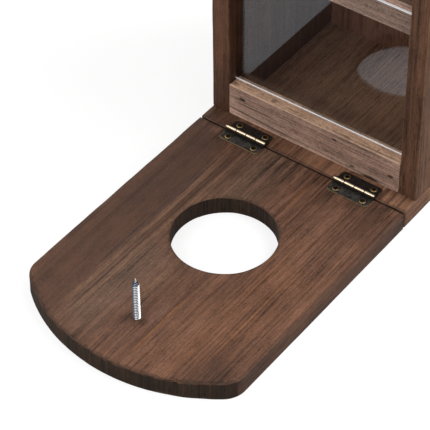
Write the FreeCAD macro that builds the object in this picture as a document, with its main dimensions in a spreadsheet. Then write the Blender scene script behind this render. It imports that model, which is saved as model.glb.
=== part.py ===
import FreeCAD, Part
import math
import os

import Sketcher

# Squirrel feeder box: a board box with a clear front pane, a folding landing
# platform on two small butt hinges and a hinged roof lid.
#
# Frame: X across the box, Y from the platform's tip to the back board, Z up.
# The origin is on the ground under the middle of the whole length.

Vector = FreeCAD.Vector
doc = FreeCAD.newDocument("SquirrelFeederBox")

# Driving dimensions

SIZES = {
    # box
    "width": 160.0,
    "board": 13.5,
    "arris": 0.9,
    "strip_depth": 13.4,
    "box_depth": 134.2,
    "front_height": 225.0,
    "roof_slope": 12.0,
    # lip and upper strip, made of one paler stock
    "light_board": 12.9,
    "light_arris": 0.6,
    "lip_height": 24.5,
    "rail_height": 21.0,
    "rail_lap": 17.3,
    # pane and its grooves
    "pane_setback": 7.6,
    "pane_thick": 2.0,
    "pane_clearance": 0.3,
    "pane_height": 111.7,
    "pane_lift": 26.0,
    "side_groove": 4.0,
    # roof
    "roof_board": 12.0,
    "roof_side": 14.0,
    "roof_front": 33.5,
    "roof_strip": 35.0,
    "roof_seam": 1.0,
    # folding platform
    "platform_length": 208.0,
    "platform_arc": 120.0,
    "platform_corner": 16.0,
    "platform_seam": 1.0,
    "cup_radius": 34.0,
    "cup_reach": 82.0,
    "spike_reach": 170.0,
    "spike_height": 33.0,
    # corn screw
    "spike_radius": 2.35,
    "spike_point": 5.5,
    "spike_head": 4.4,
    "spike_sink": 2.6,
    # small butt hinges
    "hinge_inset": 37.5,
    "hinge_length": 30.8,
    "leaf_reach": 10.4,
    "leaf_thick": 0.8,
    "leaf_corner": 2.6,
    "axis_height": 1.9,
    "barrel_radius": 1.75,
    "knuckle_gap": 0.2,
    "leaf_relief": 0.35,
    "pin_radius": 0.8,
    "pin_clearance": 0.05,
    "pin_head_radius": 1.45,
    "pin_head_length": 1.2,
    # hinge screws
    "leaf_screw_inset": 6.6,
    "leaf_screw_pitch": 20.4,
    "leaf_screw_head": 2.25,
    "leaf_screw_dome": 0.45,
    "leaf_screw_sink": 0.7,
    "leaf_screw_shank": 1.15,
    "leaf_screw_length": 9.0,
    "leaf_screw_point": 2.2,
    # wood screws that join the boards
    "wood_screw_head": 3.6,
    "wood_screw_sink": 2.2,
    "wood_screw_shank": 1.75,
    "wood_screw_length": 30.0,
    "wood_screw_point": 4.0,
    "flat_dome": 0.05,
    "head_depth": 0.4,
    "hole_mouth": 2.0,
    "bore_clearance": 0.1,
    "recess_width": 0.7,
    "recess_depth": 1.1,
    "recess_span": 1.1,
    "wall_screw_front": 30.0,
    "wall_screw_back": 105.0,
    "lip_screw_reach": 42.0,
    "back_screw_reach": 35.0,
    "back_screw_low": 50.0,
    "back_screw_pitch": 80.0,
    "strip_screw_inset": 20.0,
    "strip_screw_reach": 12.0,
    # wooden pegs of the upper strip
    "dowel_radius": 1.6,
    "dowel_length": 18.0,
    "dowel_pitch": 10.0,
    # holes to hang the box by
    "hang_radius": 3.0,
    "hang_pitch": 60.0,
    "hang_height": 200.0,
}

# Places worked out from the driving dimensions

PLACES = {
    "half_width": "Sizes.width / 2",
    "inner_half": "Sizes.width / 2 - Sizes.board",
    "back_y": "(Sizes.platform_length + Sizes.strip_depth + Sizes.box_depth) / 2",
    "front_y": "back_y - Sizes.box_depth",
    "hinge_y": "front_y - Sizes.strip_depth",
    "rise": "Sizes.box_depth * tan(Sizes.roof_slope)",
    "back_height": "Sizes.front_height + rise",
    "slope_length": "Sizes.box_depth / cos(Sizes.roof_slope)",
    "seam_run": "slope_length - Sizes.roof_strip",
    "groove_width": "Sizes.pane_thick + 2 * Sizes.pane_clearance",
    "rail_front": "Sizes.pane_setback + groove_width",
    "pane_top": "Sizes.lip_height + Sizes.pane_height",
    "rail_level": "pane_top - Sizes.rail_lap",
    "arc_centre": "Sizes.platform_length - Sizes.platform_arc",
    "corner_x": "half_width - Sizes.platform_corner",
    "corner_y": "arc_centre + sqrt((Sizes.platform_arc - Sizes.platform_corner)^2 - corner_x^2)",
    "join_x": "corner_x * Sizes.platform_arc / (Sizes.platform_arc - Sizes.platform_corner)",
    "join_y": "arc_centre + sqrt(Sizes.platform_arc^2 - join_x^2)",
    "hinge_x": "half_width - Sizes.hinge_inset",
    "knuckle": "Sizes.hinge_length / 4 - Sizes.knuckle_gap",
    "bore_radius": "Sizes.pin_radius + Sizes.pin_clearance",
    "spike_length": "Sizes.board + Sizes.spike_height - Sizes.head_depth",
}


def make_sheet(name, cells):
    """Write one aliased cell per row, in order, and return the sheet."""
    sheet = doc.addObject("Spreadsheet::Sheet", name)
    for row, (alias, content) in enumerate(cells.items(), start=1):
        sheet.set(f"A{row}", alias)
        sheet.set(f"B{row}", str(content))
        sheet.setAlias(f"B{row}", alias)
    return sheet


sizes = make_sheet("Sizes", SIZES)
places = make_sheet("Places", {alias: "=" + formula for alias, formula in PLACES.items()})
doc.recompute()


def value(expression):
    """The number that an expression over the two sheets gives now."""
    result = sizes.evalExpression(expression)
    return float(getattr(result, "Value", result))


def bind(thing, **expressions):
    """Bind properties of an object to expressions; __ in a name stands for a dot."""
    for name, expression in expressions.items():
        thing.setExpression(name.replace("__", "."), expression)
    return thing


# Frames: a place and a turn, written as one expression

def at(x="0", y="0", z="0", axis="0; 0; 1", angle="0"):
    """A frame at a point, turned about an axis by an angle in degrees."""
    return f"placement(vector({x}; {y}; {z}); rotation(vector({axis}); {angle}))"


DECK = at(z="Sizes.board")
BOX = at(y="Places.front_y", z="Sizes.board")
FOLD = at(y="Places.hinge_y", z="Sizes.board")
ROOF = at(y="Places.front_y", z="Sizes.board + Sizes.front_height", axis="1; 0; 0", angle="Sizes.roof_slope")
LID_SEAM = f"{ROOF} * {at(y='Places.seam_run', z='Sizes.roof_board')}"
TURNED = at(angle="180")


def seat(thing, frame):
    """Bind the placement of an object to a frame."""
    thing.setExpression("Placement", frame)
    return thing


# Part primitives and booleans

def box(name, frame, length, width, height):
    block = doc.addObject("Part::Box", name)
    bind(block, Length=length, Width=width, Height=height)
    return seat(block, frame)


def cylinder(name, frame, radius, height):
    """A cylinder that rises along the frame's Z axis."""
    rod = doc.addObject("Part::Cylinder", name)
    bind(rod, Radius=radius, Height=height)
    return seat(rod, frame)


def fuse(name, shapes):
    union = doc.addObject("Part::MultiFuse", name)
    union.Shapes = shapes
    return union


def group(name, shapes):
    compound = doc.addObject("Part::Compound", name)
    compound.Links = shapes
    return compound


def cut(name, base, tools):
    """Cut a group of tools out of a base, and keep the result under a name."""
    remainder = doc.addObject("Part::Cut", name)
    remainder.Base = base
    remainder.Tool = tools[0] if len(tools) == 1 else group(f"{name}_tools", tools)
    return remainder


def mirror(name, source):
    """The same piece on the other side of the box."""
    twin = doc.addObject("Part::Mirroring", name)
    twin.Source = source
    twin.Normal = Vector(1, 0, 0)
    return twin


def copies(name, master, frames):
    """One group of separate copies of a piece, one at each frame."""
    links = []
    for index, frame in enumerate(frames):
        link = doc.addObject("App::Link", f"{name}_{index}")
        link.LinkedObject = master
        links.append(seat(link, frame))
    return group(name, links)


# Sketches and the features made from them

def new_sketch(body, role, name):
    """A sketch on one of the body's own origin planes."""
    plane = next(item for item in body.Origin.OriginFeatures if item.Role == role)
    sketch = body.newObject("Sketcher::SketchObject", name)
    sketch.AttachmentSupport = [(plane, "")]
    sketch.MapMode = "FlatFace"
    return sketch


def fix(sketch, geometry, end, x, y):
    """Hold one point of a sketch at two bound distances from its origin."""
    for kind, expression in (("DistanceX", x), ("DistanceY", y)):
        constraint = Sketcher.Constraint(kind, -1, 1, geometry, end, value(expression))
        index = sketch.addConstraint(constraint)
        sketch.setExpression(f"Constraints[{index}]", expression)


def fix_radius(sketch, geometry, expression):
    index = sketch.addConstraint(Sketcher.Constraint("Radius", geometry, value(expression)))
    sketch.setExpression(f"Constraints[{index}]", expression)


def end_at(sketch, geometry, point):
    """Which end of a sketch edge lies at a point: 1 for its start, 2 for its end."""
    return min((1, 2), key=lambda end: (sketch.getPoint(geometry, end) - point).Length)


def arc_through(start, end, radius, side):
    """The shorter arc between two points, bulging to the left (1) or right (-1) of the way."""
    chord = end - start
    half = chord.Length / 2
    left = Vector(-chord.y, chord.x, 0).normalize()
    sagitta = radius - math.sqrt(max(radius * radius - half * half, 0))
    return Part.Arc(start, (start + end) / 2 + left * (side * sagitta), end)


def draw_outline(sketch, corners, arcs=None):
    """Draw a closed outline whose corners are pairs of expressions.

    arcs gives, for the edge that leaves a corner, its radius and the side it bulges to.
    """
    arcs = arcs or {}
    points = [Vector(value(x), value(y), 0) for x, y in corners]
    edges = []
    for index, start in enumerate(points):
        end = points[(index + 1) % len(points)]
        if index in arcs:
            radius, side = arcs[index]
            curve = arc_through(start, end, value(radius), side)
        else:
            curve = Part.LineSegment(start, end)
        edges.append(sketch.addGeometry(curve, False))
    for index, (x, y) in enumerate(corners):
        here, before = edges[index], edges[index - 1]
        ends = [end_at(sketch, edge, points[index]) for edge in (before, here)]
        sketch.addConstraint(Sketcher.Constraint("Coincident", before, ends[0], here, ends[1]))
        fix(sketch, here, ends[1], x, y)
    for index, (radius, side) in arcs.items():
        fix_radius(sketch, edges[index], radius)


def draw_circle(sketch, x, y, radius):
    middle = Vector(value(x), value(y), 0)
    circle = sketch.addGeometry(Part.Circle(middle, Vector(0, 0, 1), value(radius)), False)
    fix(sketch, circle, 3, x, y)
    fix_radius(sketch, circle, radius)


def new_body(name):
    return doc.addObject("PartDesign::Body", name)


def pad(body, sketch, length):
    feature = body.newObject("PartDesign::Pad", f"{body.Name}_pad")
    feature.Profile = sketch
    bind(feature, Length=length)
    sketch.Visibility = False
    return feature


def pocket(body, sketch, depth, backwards=False):
    """Cut a sketch into the body, and make sure that it did cut."""
    doc.recompute()
    before = body.Shape.Volume
    feature = body.newObject("PartDesign::Pocket", f"{sketch.Name}_pocket")
    feature.Profile = sketch
    feature.Reversed = backwards
    bind(feature, Length=depth)
    doc.recompute()
    if feature.Shape.Volume >= before - 1e-6:
        raise RuntimeError(f"{feature.Name} cuts nothing")
    return feature


def revolve(body, sketch):
    """Turn a sketch fully about its own vertical axis."""
    feature = body.newObject("PartDesign::Revolution", f"{body.Name}_turn")
    feature.Profile = sketch
    feature.ReferenceAxis = (sketch, ["V_Axis"])
    feature.Angle = 360
    return feature


def round_edges(body, radius, wanted):
    """Round the edges of the body for which wanted(edge) is true."""
    doc.recompute()
    base = body.Tip
    edges = enumerate(base.Shape.Edges, start=1)
    names = [f"Edge{number}" for number, edge in edges if wanted(edge)]
    feature = body.newObject("PartDesign::Fillet", f"{body.Name}_arris")
    feature.Base = (base, names)
    bind(feature, Radius=radius)
    return feature


def every_edge(edge):
    return True


def level_edge(edge):
    return edge.BoundBox.ZLength < 1e-6


def board(name, frame, length, width, height, arris="Sizes.arris"):
    """A plain board from a rectangle with one corner at the frame, its arrises rounded."""
    body = new_body(name)
    sketch = new_sketch(body, "XY_Plane", f"{name}_outline")
    draw_outline(sketch, [("0", "0"), (length, "0"), (length, width), ("0", width)])
    pad(body, sketch, height)
    round_edges(body, arris, every_edge)
    return seat(body, frame)


# Screws: head at the frame's origin, point along its -Z axis

def screw(name, head, dome, sink, shank, length, point):
    """A countersunk screw turned from one outline, with a cross recess in its head.

    The recess is recess_span times the head's radius from end to end.
    """
    body = new_body(name)
    sketch = new_sketch(body, "XZ_Plane", f"{name}_outline")
    corners = [
        ("0", dome),
        (head, "0"),
        (shank, f"-{sink}"),
        (shank, f"{point} - {length}"),
        ("0", f"-{length}"),
    ]
    crown = {0: (f"({head}^2 + {dome}^2) / (2 * {dome})", 1)}
    draw_outline(sketch, corners, crown)
    revolve(body, sketch)
    wide, narrow = f"{head} * Sizes.recess_span", "Sizes.recess_width"
    blocks = []
    for index, (across, along) in enumerate(((wide, narrow), (narrow, wide))):
        frame = at(f"-({across}) / 2", f"-({along}) / 2", f"{dome} - Sizes.recess_depth")
        blocks.append(box(f"{name}_slot_{index}", frame, across, along, "Sizes.recess_depth"))
    return cut(f"{name}_crossed", body, [fuse(f"{name}_cross", blocks)])


def screw_hole(name, head, sink, shank, length, point):
    """The hole that a screw sits in, open above its head."""
    slack = "Sizes.bore_clearance"
    wide, narrow = f"({head} + {slack})", f"({shank} + {slack})"
    body = new_body(name)
    sketch = new_sketch(body, "XZ_Plane", f"{name}_outline")
    corners = [
        ("0", "Sizes.hole_mouth"),
        (wide, "Sizes.hole_mouth"),
        (wide, "0"),
        (narrow, f"-{sink}"),
        (narrow, f"{point} - {length} - {slack}"),
        ("0", f"-({length} + {slack})"),
    ]
    draw_outline(sketch, corners)
    revolve(body, sketch)
    return body


def screw_pair(name, head, dome, sink, shank, length, point):
    """A screw and its hole."""
    made = screw(name, head, dome, sink, shank, length, point)
    return made, screw_hole(f"{name}_hole", head, sink, shank, length, point)


leaf_screw, leaf_screw_hole = screw_pair(
    "leaf_screw", "Sizes.leaf_screw_head", "Sizes.leaf_screw_dome", "Sizes.leaf_screw_sink",
    "Sizes.leaf_screw_shank", "Sizes.leaf_screw_length", "Sizes.leaf_screw_point")
wood_screw, wood_screw_hole = screw_pair(
    "wood_screw", "Sizes.wood_screw_head", "Sizes.flat_dome", "Sizes.wood_screw_sink",
    "Sizes.wood_screw_shank", "Sizes.wood_screw_length", "Sizes.wood_screw_point")
spike_screw, spike_screw_hole = screw_pair(
    "spike_screw", "Sizes.spike_head", "Sizes.flat_dome", "Sizes.spike_sink",
    "Sizes.spike_radius", "Places.spike_length", "Sizes.spike_point")


def leaf_screw_frames(seam, turn=""):
    """The two screws in one leaf of each hinge along a seam."""
    frames = []
    for side in ("-1", "1"):
        for step in ("-1", "1"):
            spot = at(
                f"{side} * Places.hinge_x + {step} * Sizes.leaf_screw_pitch / 2",
                "Sizes.leaf_screw_inset",
                "Sizes.leaf_thick",
            )
            frames.append(f"{seam}{turn} * {spot}")
    return frames


TURN = f" * {TURNED}"
base_side = leaf_screw_frames(FOLD)
platform_side = leaf_screw_frames(FOLD, TURN)
strip_side = leaf_screw_frames(LID_SEAM)
lid_side = leaf_screw_frames(LID_SEAM, TURN)

# Screws driven up through the base into the walls, the lip and the back board
SUNK = at(z="Sizes.head_depth", axis="1; 0; 0", angle="180")
wall_x = "(Places.half_width - Sizes.board / 2)"
base_spots = [
    (f"{side} * {x}", y)
    for side in ("-1", "1")
    for x, y in (
        (wall_x, "Places.front_y + Sizes.wall_screw_front"),
        (wall_x, "Places.front_y + Sizes.wall_screw_back"),
        ("Sizes.lip_screw_reach", "Places.front_y + Sizes.light_board / 2"),
        ("Sizes.back_screw_reach", "Places.back_y - Sizes.board / 2"),
    )
]
base_frames = [f"{at(x, y)} * {SUNK}" for x, y in base_spots]


def inward(side, depth):
    """A frame on a wall's outer face whose screw points into the box."""
    place = at(f"{side} * (Places.half_width - {depth})")
    return f"{place} * {at(axis='0; 1; 0', angle=f'{side} * 90')}"


# Screws driven through the walls into the ends of the back board
back_middle = "Places.back_y - Sizes.board / 2"
back_frames = [
    f"{DECK} * {at(y=back_middle, z=f'Sizes.back_screw_low + {row} * Sizes.back_screw_pitch')}"
    f" * {inward(side, 'Sizes.head_depth')}"
    for side in ("-1", "1")
    for row in ("0", "1", "2")
]

# Screws driven down through the fixed roof strip into the walls and the back board
strip_spots = [
    (f"{side} * {x}", f"Places.slope_length - {inset}")
    for side in ("-1", "1")
    for x, inset in (
        (wall_x, "Sizes.strip_screw_inset"),
        ("Sizes.strip_screw_reach", "Sizes.board / 2"),
    )
]
strip_frames = [
    f"{ROOF} * {at(x, y, 'Sizes.roof_board - Sizes.head_depth')}" for x, y in strip_spots
]

# Pegs half in the walls and half in the ends of the upper strip
peg_y = "Places.rail_front + Sizes.light_board / 2"
peg_z = "Places.rail_level + Sizes.rail_height / 2"
peg_frames = [
    f"{BOX} * {at(f'{side} * Places.inner_half', peg_y, f'{peg_z} + {step} * Sizes.dowel_pitch / 2')}"
    f" * {at(axis='0; 1; 0', angle='90')}"
    for side in ("-1", "1")
    for step in ("-1", "1")
]


def peg(name, slack):
    """A peg that lies along Z, its middle at the origin."""
    frame = at(z=f"-(Sizes.dowel_length / 2 + {slack})")
    rod = cylinder(f"{name}_rod", frame, f"Sizes.dowel_radius + {slack}",
                   f"Sizes.dowel_length + 2 * {slack}")
    return group(name, [rod])


dowel = peg("dowel", "0")
dowel_hole = peg("dowel_hole", "Sizes.bore_clearance")
spike_frame = f"{at(y='Places.hinge_y - Sizes.spike_reach')} * {SUNK}"

nodes = {}


def keep(node, thing):
    """Give a finished sub-part the label that names its file."""
    thing.Label = node
    nodes[node] = thing
    return thing


# Base

base_blank = board(
    "base_blank",
    at("-Places.half_width", "Places.hinge_y + Sizes.platform_seam / 2"),
    "Sizes.width",
    "Sizes.strip_depth + Sizes.box_depth - Sizes.platform_seam / 2",
    "Sizes.board",
)
base_holes = copies("base_holes", wood_screw_hole, base_frames)
base_leaf_holes = copies("base_leaf_holes", leaf_screw_hole, base_side)
keep("base_board", cut("base_cut", base_blank, [base_holes, base_leaf_holes]))
keep("base_screws", copies("base_screw_set", wood_screw, base_frames))

# Side walls

wall_body = new_body("wall_blank")
wall_sketch = new_sketch(wall_body, "YZ_Plane", "wall_outline")
wall_corners = [
    ("0", "0"),
    ("Sizes.box_depth", "0"),
    ("Sizes.box_depth", "Places.back_height"),
    ("0", "Sizes.front_height"),
]
draw_outline(wall_sketch, wall_corners)
pad(wall_body, wall_sketch, "Sizes.board")
round_edges(wall_body, "Sizes.arris", every_edge)
seat(wall_body, f"{BOX} * {at('-Places.half_width')}")

groove_start = at("-Places.inner_half - Sizes.side_groove", "Sizes.pane_setback", "Sizes.lip_height")
wall_groove = box(
    "wall_groove",
    f"{BOX} * {groove_start}",
    "2 * Sizes.side_groove",
    "Places.groove_width",
    "Sizes.pane_height + Sizes.pane_lift",
)
back_screw_holes = copies("back_screw_holes", wood_screw_hole, back_frames)
strip_screw_holes = copies("strip_screw_holes", wood_screw_hole, strip_frames)
dowel_holes = copies("dowel_holes", dowel_hole, peg_frames)
wall_tools = [wall_groove, base_holes, back_screw_holes, strip_screw_holes, dowel_holes]
left_wall = keep("left_wall", cut("left_wall_cut", wall_body, wall_tools))
keep("right_wall", mirror("right_wall_twin", left_wall))

# Back board, its top planed to the slope of the roof, with two holes to hang the box by

back_body = new_body("back_blank")
back_sketch = new_sketch(back_body, "YZ_Plane", "back_outline")
back_corners = [
    ("0", "0"),
    ("Sizes.board", "0"),
    ("Sizes.board", "Places.back_height"),
    ("0", "Places.back_height - Sizes.board * tan(Sizes.roof_slope)"),
]
draw_outline(back_sketch, back_corners)
pad(back_body, back_sketch, "2 * Places.inner_half")
seat(back_body, f"{BOX} * {at('-Places.inner_half', 'Sizes.box_depth - Sizes.board')}")
hang_start = "Sizes.box_depth + Sizes.board"
hang_holes = [
    cylinder(
        f"hang_hole_{index}",
        f"{BOX} * {at(f'{side} * Sizes.hang_pitch / 2', hang_start, 'Sizes.hang_height', '1; 0; 0', '90')}",
        "Sizes.hang_radius",
        "3 * Sizes.board",
    )
    for index, side in enumerate(("-1", "1"))
]
back_tools = [base_holes, back_screw_holes, strip_screw_holes, *hang_holes]
keep("back_board", cut("back_cut", back_body, back_tools))
keep("back_screws", copies("back_screw_set", wood_screw, back_frames))

# Lip across the front and the strip above, behind the pane

lip_blank = board(
    "lip_blank",
    f"{BOX} * {at('-Places.inner_half')}",
    "2 * Places.inner_half",
    "Sizes.light_board",
    "Sizes.lip_height",
    "Sizes.light_arris",
)
keep("front_lip", cut("lip_cut", lip_blank, [base_holes]))

rail_blank = board(
    "rail_blank",
    f"{BOX} * {at('-Places.inner_half', 'Places.rail_front', 'Places.rail_level')}",
    "2 * Places.inner_half",
    "Sizes.light_board",
    "Sizes.rail_height",
    "Sizes.light_arris",
)
keep("upper_rail", cut("rail_cut", rail_blank, [dowel_holes]))
keep("rail_dowels", copies("dowel_set", dowel, peg_frames))

# Clear pane, which stands on the lip with its sides in the walls' grooves

pane_half = "(Places.inner_half + Sizes.side_groove - Sizes.pane_clearance)"
pane_start = at(f"-{pane_half}", "Sizes.pane_setback + Sizes.pane_clearance", "Sizes.lip_height")
pane = board(
    "pane",
    f"{BOX} * {pane_start}",
    f"2 * {pane_half}",
    "Sizes.pane_thick",
    "Sizes.pane_height",
    "Sizes.pane_clearance",
)
keep("front_pane", pane)

# Roof: a fixed strip at the back and the hinged lid

roof_width = "Sizes.width + 2 * Sizes.roof_side"
roof_left = "-(Places.half_width + Sizes.roof_side)"
strip_blank = board(
    "strip_blank",
    f"{ROOF} * {at(roof_left, 'Places.seam_run + Sizes.roof_seam / 2')}",
    roof_width,
    "Sizes.roof_strip - Sizes.roof_seam / 2",
    "Sizes.roof_board",
)
strip_leaf_holes = copies("strip_leaf_holes", leaf_screw_hole, strip_side)
keep("roof_rear_strip", cut("strip_cut", strip_blank, [strip_screw_holes, strip_leaf_holes]))
keep("roof_strip_screws", copies("strip_screw_set", wood_screw, strip_frames))

lid_blank = board(
    "lid_blank",
    f"{ROOF} * {at(roof_left, '-Sizes.roof_front')}",
    roof_width,
    "Sizes.roof_front + Places.seam_run - Sizes.roof_seam / 2",
    "Sizes.roof_board",
)
lid_leaf_holes = copies("lid_leaf_holes", leaf_screw_hole, lid_side)
keep("roof_lid", cut("lid_cut", lid_blank, [lid_leaf_holes]))

# Folding platform: straight sides, a rounded front and a round hole for a cup

platform_body = new_body("platform_blank")
platform_sketch = new_sketch(platform_body, "XY_Plane", "platform_outline")
platform_corners = [
    ("-Places.half_width", "-Sizes.platform_seam / 2"),
    ("-Places.half_width", "-Places.corner_y"),
    ("-Places.join_x", "-Places.join_y"),
    ("Places.join_x", "-Places.join_y"),
    ("Places.half_width", "-Places.corner_y"),
    ("Places.half_width", "-Sizes.platform_seam / 2"),
]
platform_arcs = {
    1: ("Sizes.platform_corner", -1),
    2: ("Sizes.platform_arc", -1),
    3: ("Sizes.platform_corner", -1),
}
draw_outline(platform_sketch, platform_corners, platform_arcs)
pad(platform_body, platform_sketch, "Sizes.board")
cup_sketch = new_sketch(platform_body, "XY_Plane", "cup_outline")
draw_circle(cup_sketch, "0", "-Sizes.cup_reach", "Sizes.cup_radius")
pocket(platform_body, cup_sketch, "Sizes.board", backwards=True)
round_edges(platform_body, "Sizes.arris", level_edge)
seat(platform_body, at(y="Places.hinge_y"))
platform_leaf_holes = copies("platform_leaf_holes", leaf_screw_hole, platform_side)
spike_hole = copies("spike_hole", spike_screw_hole, [spike_frame])
keep("platform_board", cut("platform_cut", platform_body, [platform_leaf_holes, spike_hole]))
keep("corn_screw", copies("corn_screw_set", spike_screw, [spike_frame]))

# Butt hinges. In a leaf's frame X runs along the barrel, the leaf lies toward +Y, and the
# origin is on the boards' common face under the barrel's middle.

ALONG = "0; 1; 0"


def leaf(name, frame):
    """A leaf with the first and third of the hinge's four knuckles."""
    plate_body = new_body(f"{name}_plate")
    sketch = new_sketch(plate_body, "XY_Plane", f"{name}_outline")
    half, reach, corner = "Sizes.hinge_length / 2", "Sizes.leaf_reach", "Sizes.leaf_corner"
    near = "Sizes.barrel_radius + Sizes.leaf_relief"
    corners = [
        (f"-{half}", near),
        (half, near),
        (half, f"{reach} - {corner}"),
        (f"{half} - {corner}", reach),
        (f"{corner} - {half}", reach),
        (f"-{half}", f"{reach} - {corner}"),
    ]
    draw_outline(sketch, corners, {2: (corner, -1), 4: (corner, -1)})
    pad(plate_body, sketch, "Sizes.leaf_thick")
    solids = [plate_body]
    for number in ("0", "2"):
        start = f"({number} - 2) * Sizes.hinge_length / 4 + Sizes.knuckle_gap / 2"
        solids.append(box(f"{name}_tab_{number}", at(start), "Places.knuckle", near, "Sizes.leaf_thick"))
        ring_frame = at(start, z="Sizes.axis_height", axis=ALONG, angle="90")
        solids.append(cylinder(f"{name}_ring_{number}", ring_frame, "Sizes.barrel_radius", "Places.knuckle"))
    bore_frame = at(f"-{half}", z="Sizes.axis_height", axis=ALONG, angle="90")
    tools = [cylinder(f"{name}_bore", bore_frame, "Places.bore_radius", "Sizes.hinge_length")]
    for index, step in enumerate(("-1", "1")):
        spot = at(f"{step} * Sizes.leaf_screw_pitch / 2", "Sizes.leaf_screw_inset", "Sizes.leaf_thick")
        tools.append(copies(f"{name}_sink_{index}", leaf_screw_hole, [spot]))
    drilled = cut(f"{name}_drilled", fuse(f"{name}_solid", solids), tools)
    return copies(name, drilled, [frame])


def hinge(name, seam, side, fixed, moving):
    """The three pieces of one hinge on a seam, at one side of the middle."""
    middle = f"{seam} * {at(f'{side} * Places.hinge_x')}"
    keep(f"{name}_{fixed}", leaf(f"{name}_fixed", middle))
    keep(f"{name}_{moving}", leaf(f"{name}_moving", f"{middle} * {TURNED}"))
    pin_sizes = (
        ("rod", "0", "Sizes.pin_radius", "Sizes.hinge_length"),
        ("head", "Sizes.pin_head_length", "Sizes.pin_head_radius", "Sizes.pin_head_length"),
    )
    rods = []
    for part, overhang, radius, length in pin_sizes:
        frame = at(f"-Sizes.hinge_length / 2 - {overhang}", z="Sizes.axis_height", axis=ALONG, angle="90")
        rods.append(cylinder(f"{name}_{part}", f"{middle} * {frame}", radius, length))
    keep(f"{name}_pin", fuse(f"{name}_headed_pin", rods))


for side, sign in (("left", "-1"), ("right", "1")):
    hinge(f"{side}_platform_hinge", FOLD, sign, "base_leaf", "platform_leaf")
    hinge(f"{side}_lid_hinge", LID_SEAM, sign, "strip_leaf", "lid_leaf")
keep("hinge_screws_base", copies("base_leaf_screws", leaf_screw, base_side))
keep("hinge_screws_platform", copies("platform_leaf_screws", leaf_screw, platform_side))
keep("hinge_screws_strip", copies("strip_leaf_screws", leaf_screw, strip_side))
keep("hinge_screws_lid", copies("lid_leaf_screws", leaf_screw, lid_side))

# Checks, then one file for each sub-part

doc.recompute()
failed = [item.Name for item in doc.Objects if {"Invalid", "Error"} & set(item.State)]
if failed:
    raise RuntimeError(f"failed objects: {failed}")
for node, thing in nodes.items():
    shape = thing.Shape
    if shape.isNull() or not shape.isValid() or not shape.Solids:
        raise RuntimeError(f"{node} has no valid solid")

os.makedirs("parts", exist_ok=True)
for node, thing in nodes.items():
    thing.Shape.exportStep(f"parts/{node}.step")
print(f"{len(nodes)} nodes written")
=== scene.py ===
"""Squirrel feeder box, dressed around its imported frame.

Lengths are millimetres of the row frame while a piece is being shaped, and metres once it is finished.
"""

import logging
import math
from collections.abc import Callable
from dataclasses import dataclass, field
from enum import Enum

import bmesh
import bpy
from mathutils import Matrix, Vector, noise


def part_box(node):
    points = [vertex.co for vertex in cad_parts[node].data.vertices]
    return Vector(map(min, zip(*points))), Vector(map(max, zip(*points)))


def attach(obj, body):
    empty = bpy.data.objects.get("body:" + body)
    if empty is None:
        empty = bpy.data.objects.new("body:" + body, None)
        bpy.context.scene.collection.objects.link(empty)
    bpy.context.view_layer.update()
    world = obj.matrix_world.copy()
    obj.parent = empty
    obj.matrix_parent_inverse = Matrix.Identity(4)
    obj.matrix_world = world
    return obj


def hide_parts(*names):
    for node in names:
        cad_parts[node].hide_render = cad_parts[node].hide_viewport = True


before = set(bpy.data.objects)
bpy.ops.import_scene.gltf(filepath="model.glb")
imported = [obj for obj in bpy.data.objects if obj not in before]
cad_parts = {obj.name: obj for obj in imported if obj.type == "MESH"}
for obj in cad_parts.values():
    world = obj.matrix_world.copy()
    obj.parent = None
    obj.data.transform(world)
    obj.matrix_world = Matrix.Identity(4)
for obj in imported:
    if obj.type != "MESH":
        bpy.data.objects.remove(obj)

LOG = logging.getLogger("feeder")
MM = 0.001
SHARP_ANGLE = math.radians(38.0)

# Measures of the frame that several sub-assemblies share, in millimetres
SEAM_GAP = 1.0
HEAD_DEPTH = 0.4
LEAF_THICK = 0.8
LEAF_SCREW_REACH = 6.6

# How a form is shaped: lengths in millimetres, angles in radians, and waves of its dents for each millimetre
OVERCUT = 5.0
WELD = 0.0005
CREASE = math.radians(25.0)
ALONG_FIBRES = 0.012
ACROSS_FIBRES = 0.14
STEEP = math.radians(60.0)

Colour = tuple[float, float, float]
Point = tuple[float, float, float]
Material = bpy.types.Material
Socket = bpy.types.NodeSocket
Vert = bmesh.types.BMVert
Edge = bmesh.types.BMEdge
Face = bmesh.types.BMFace
EdgeTest = Callable[[Edge], bool]

ORIGIN: Point = (0.0, 0.0, 0.0)
RIGHTWARD: Point = (1.0, 0.0, 0.0)
BACKWARD: Point = (0.0, 1.0, 0.0)
UP: Point = (0.0, 0.0, 1.0)


def paint(red: int, green: int, blue: int) -> Colour:
    """Turn a colour seen on a screen, from 0 to 255, into the scene's linear colour."""
    shares = (value / 255.0 for value in (red, green, blue))
    return tuple(s / 12.92 if s <= 0.04045 else ((s + 0.055) / 1.055) ** 2.4 for s in shares)


def clamp(value: float) -> float:
    """Hold a number between 0 and 1."""
    return min(1.0, max(0.0, value))


# Materials


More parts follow.
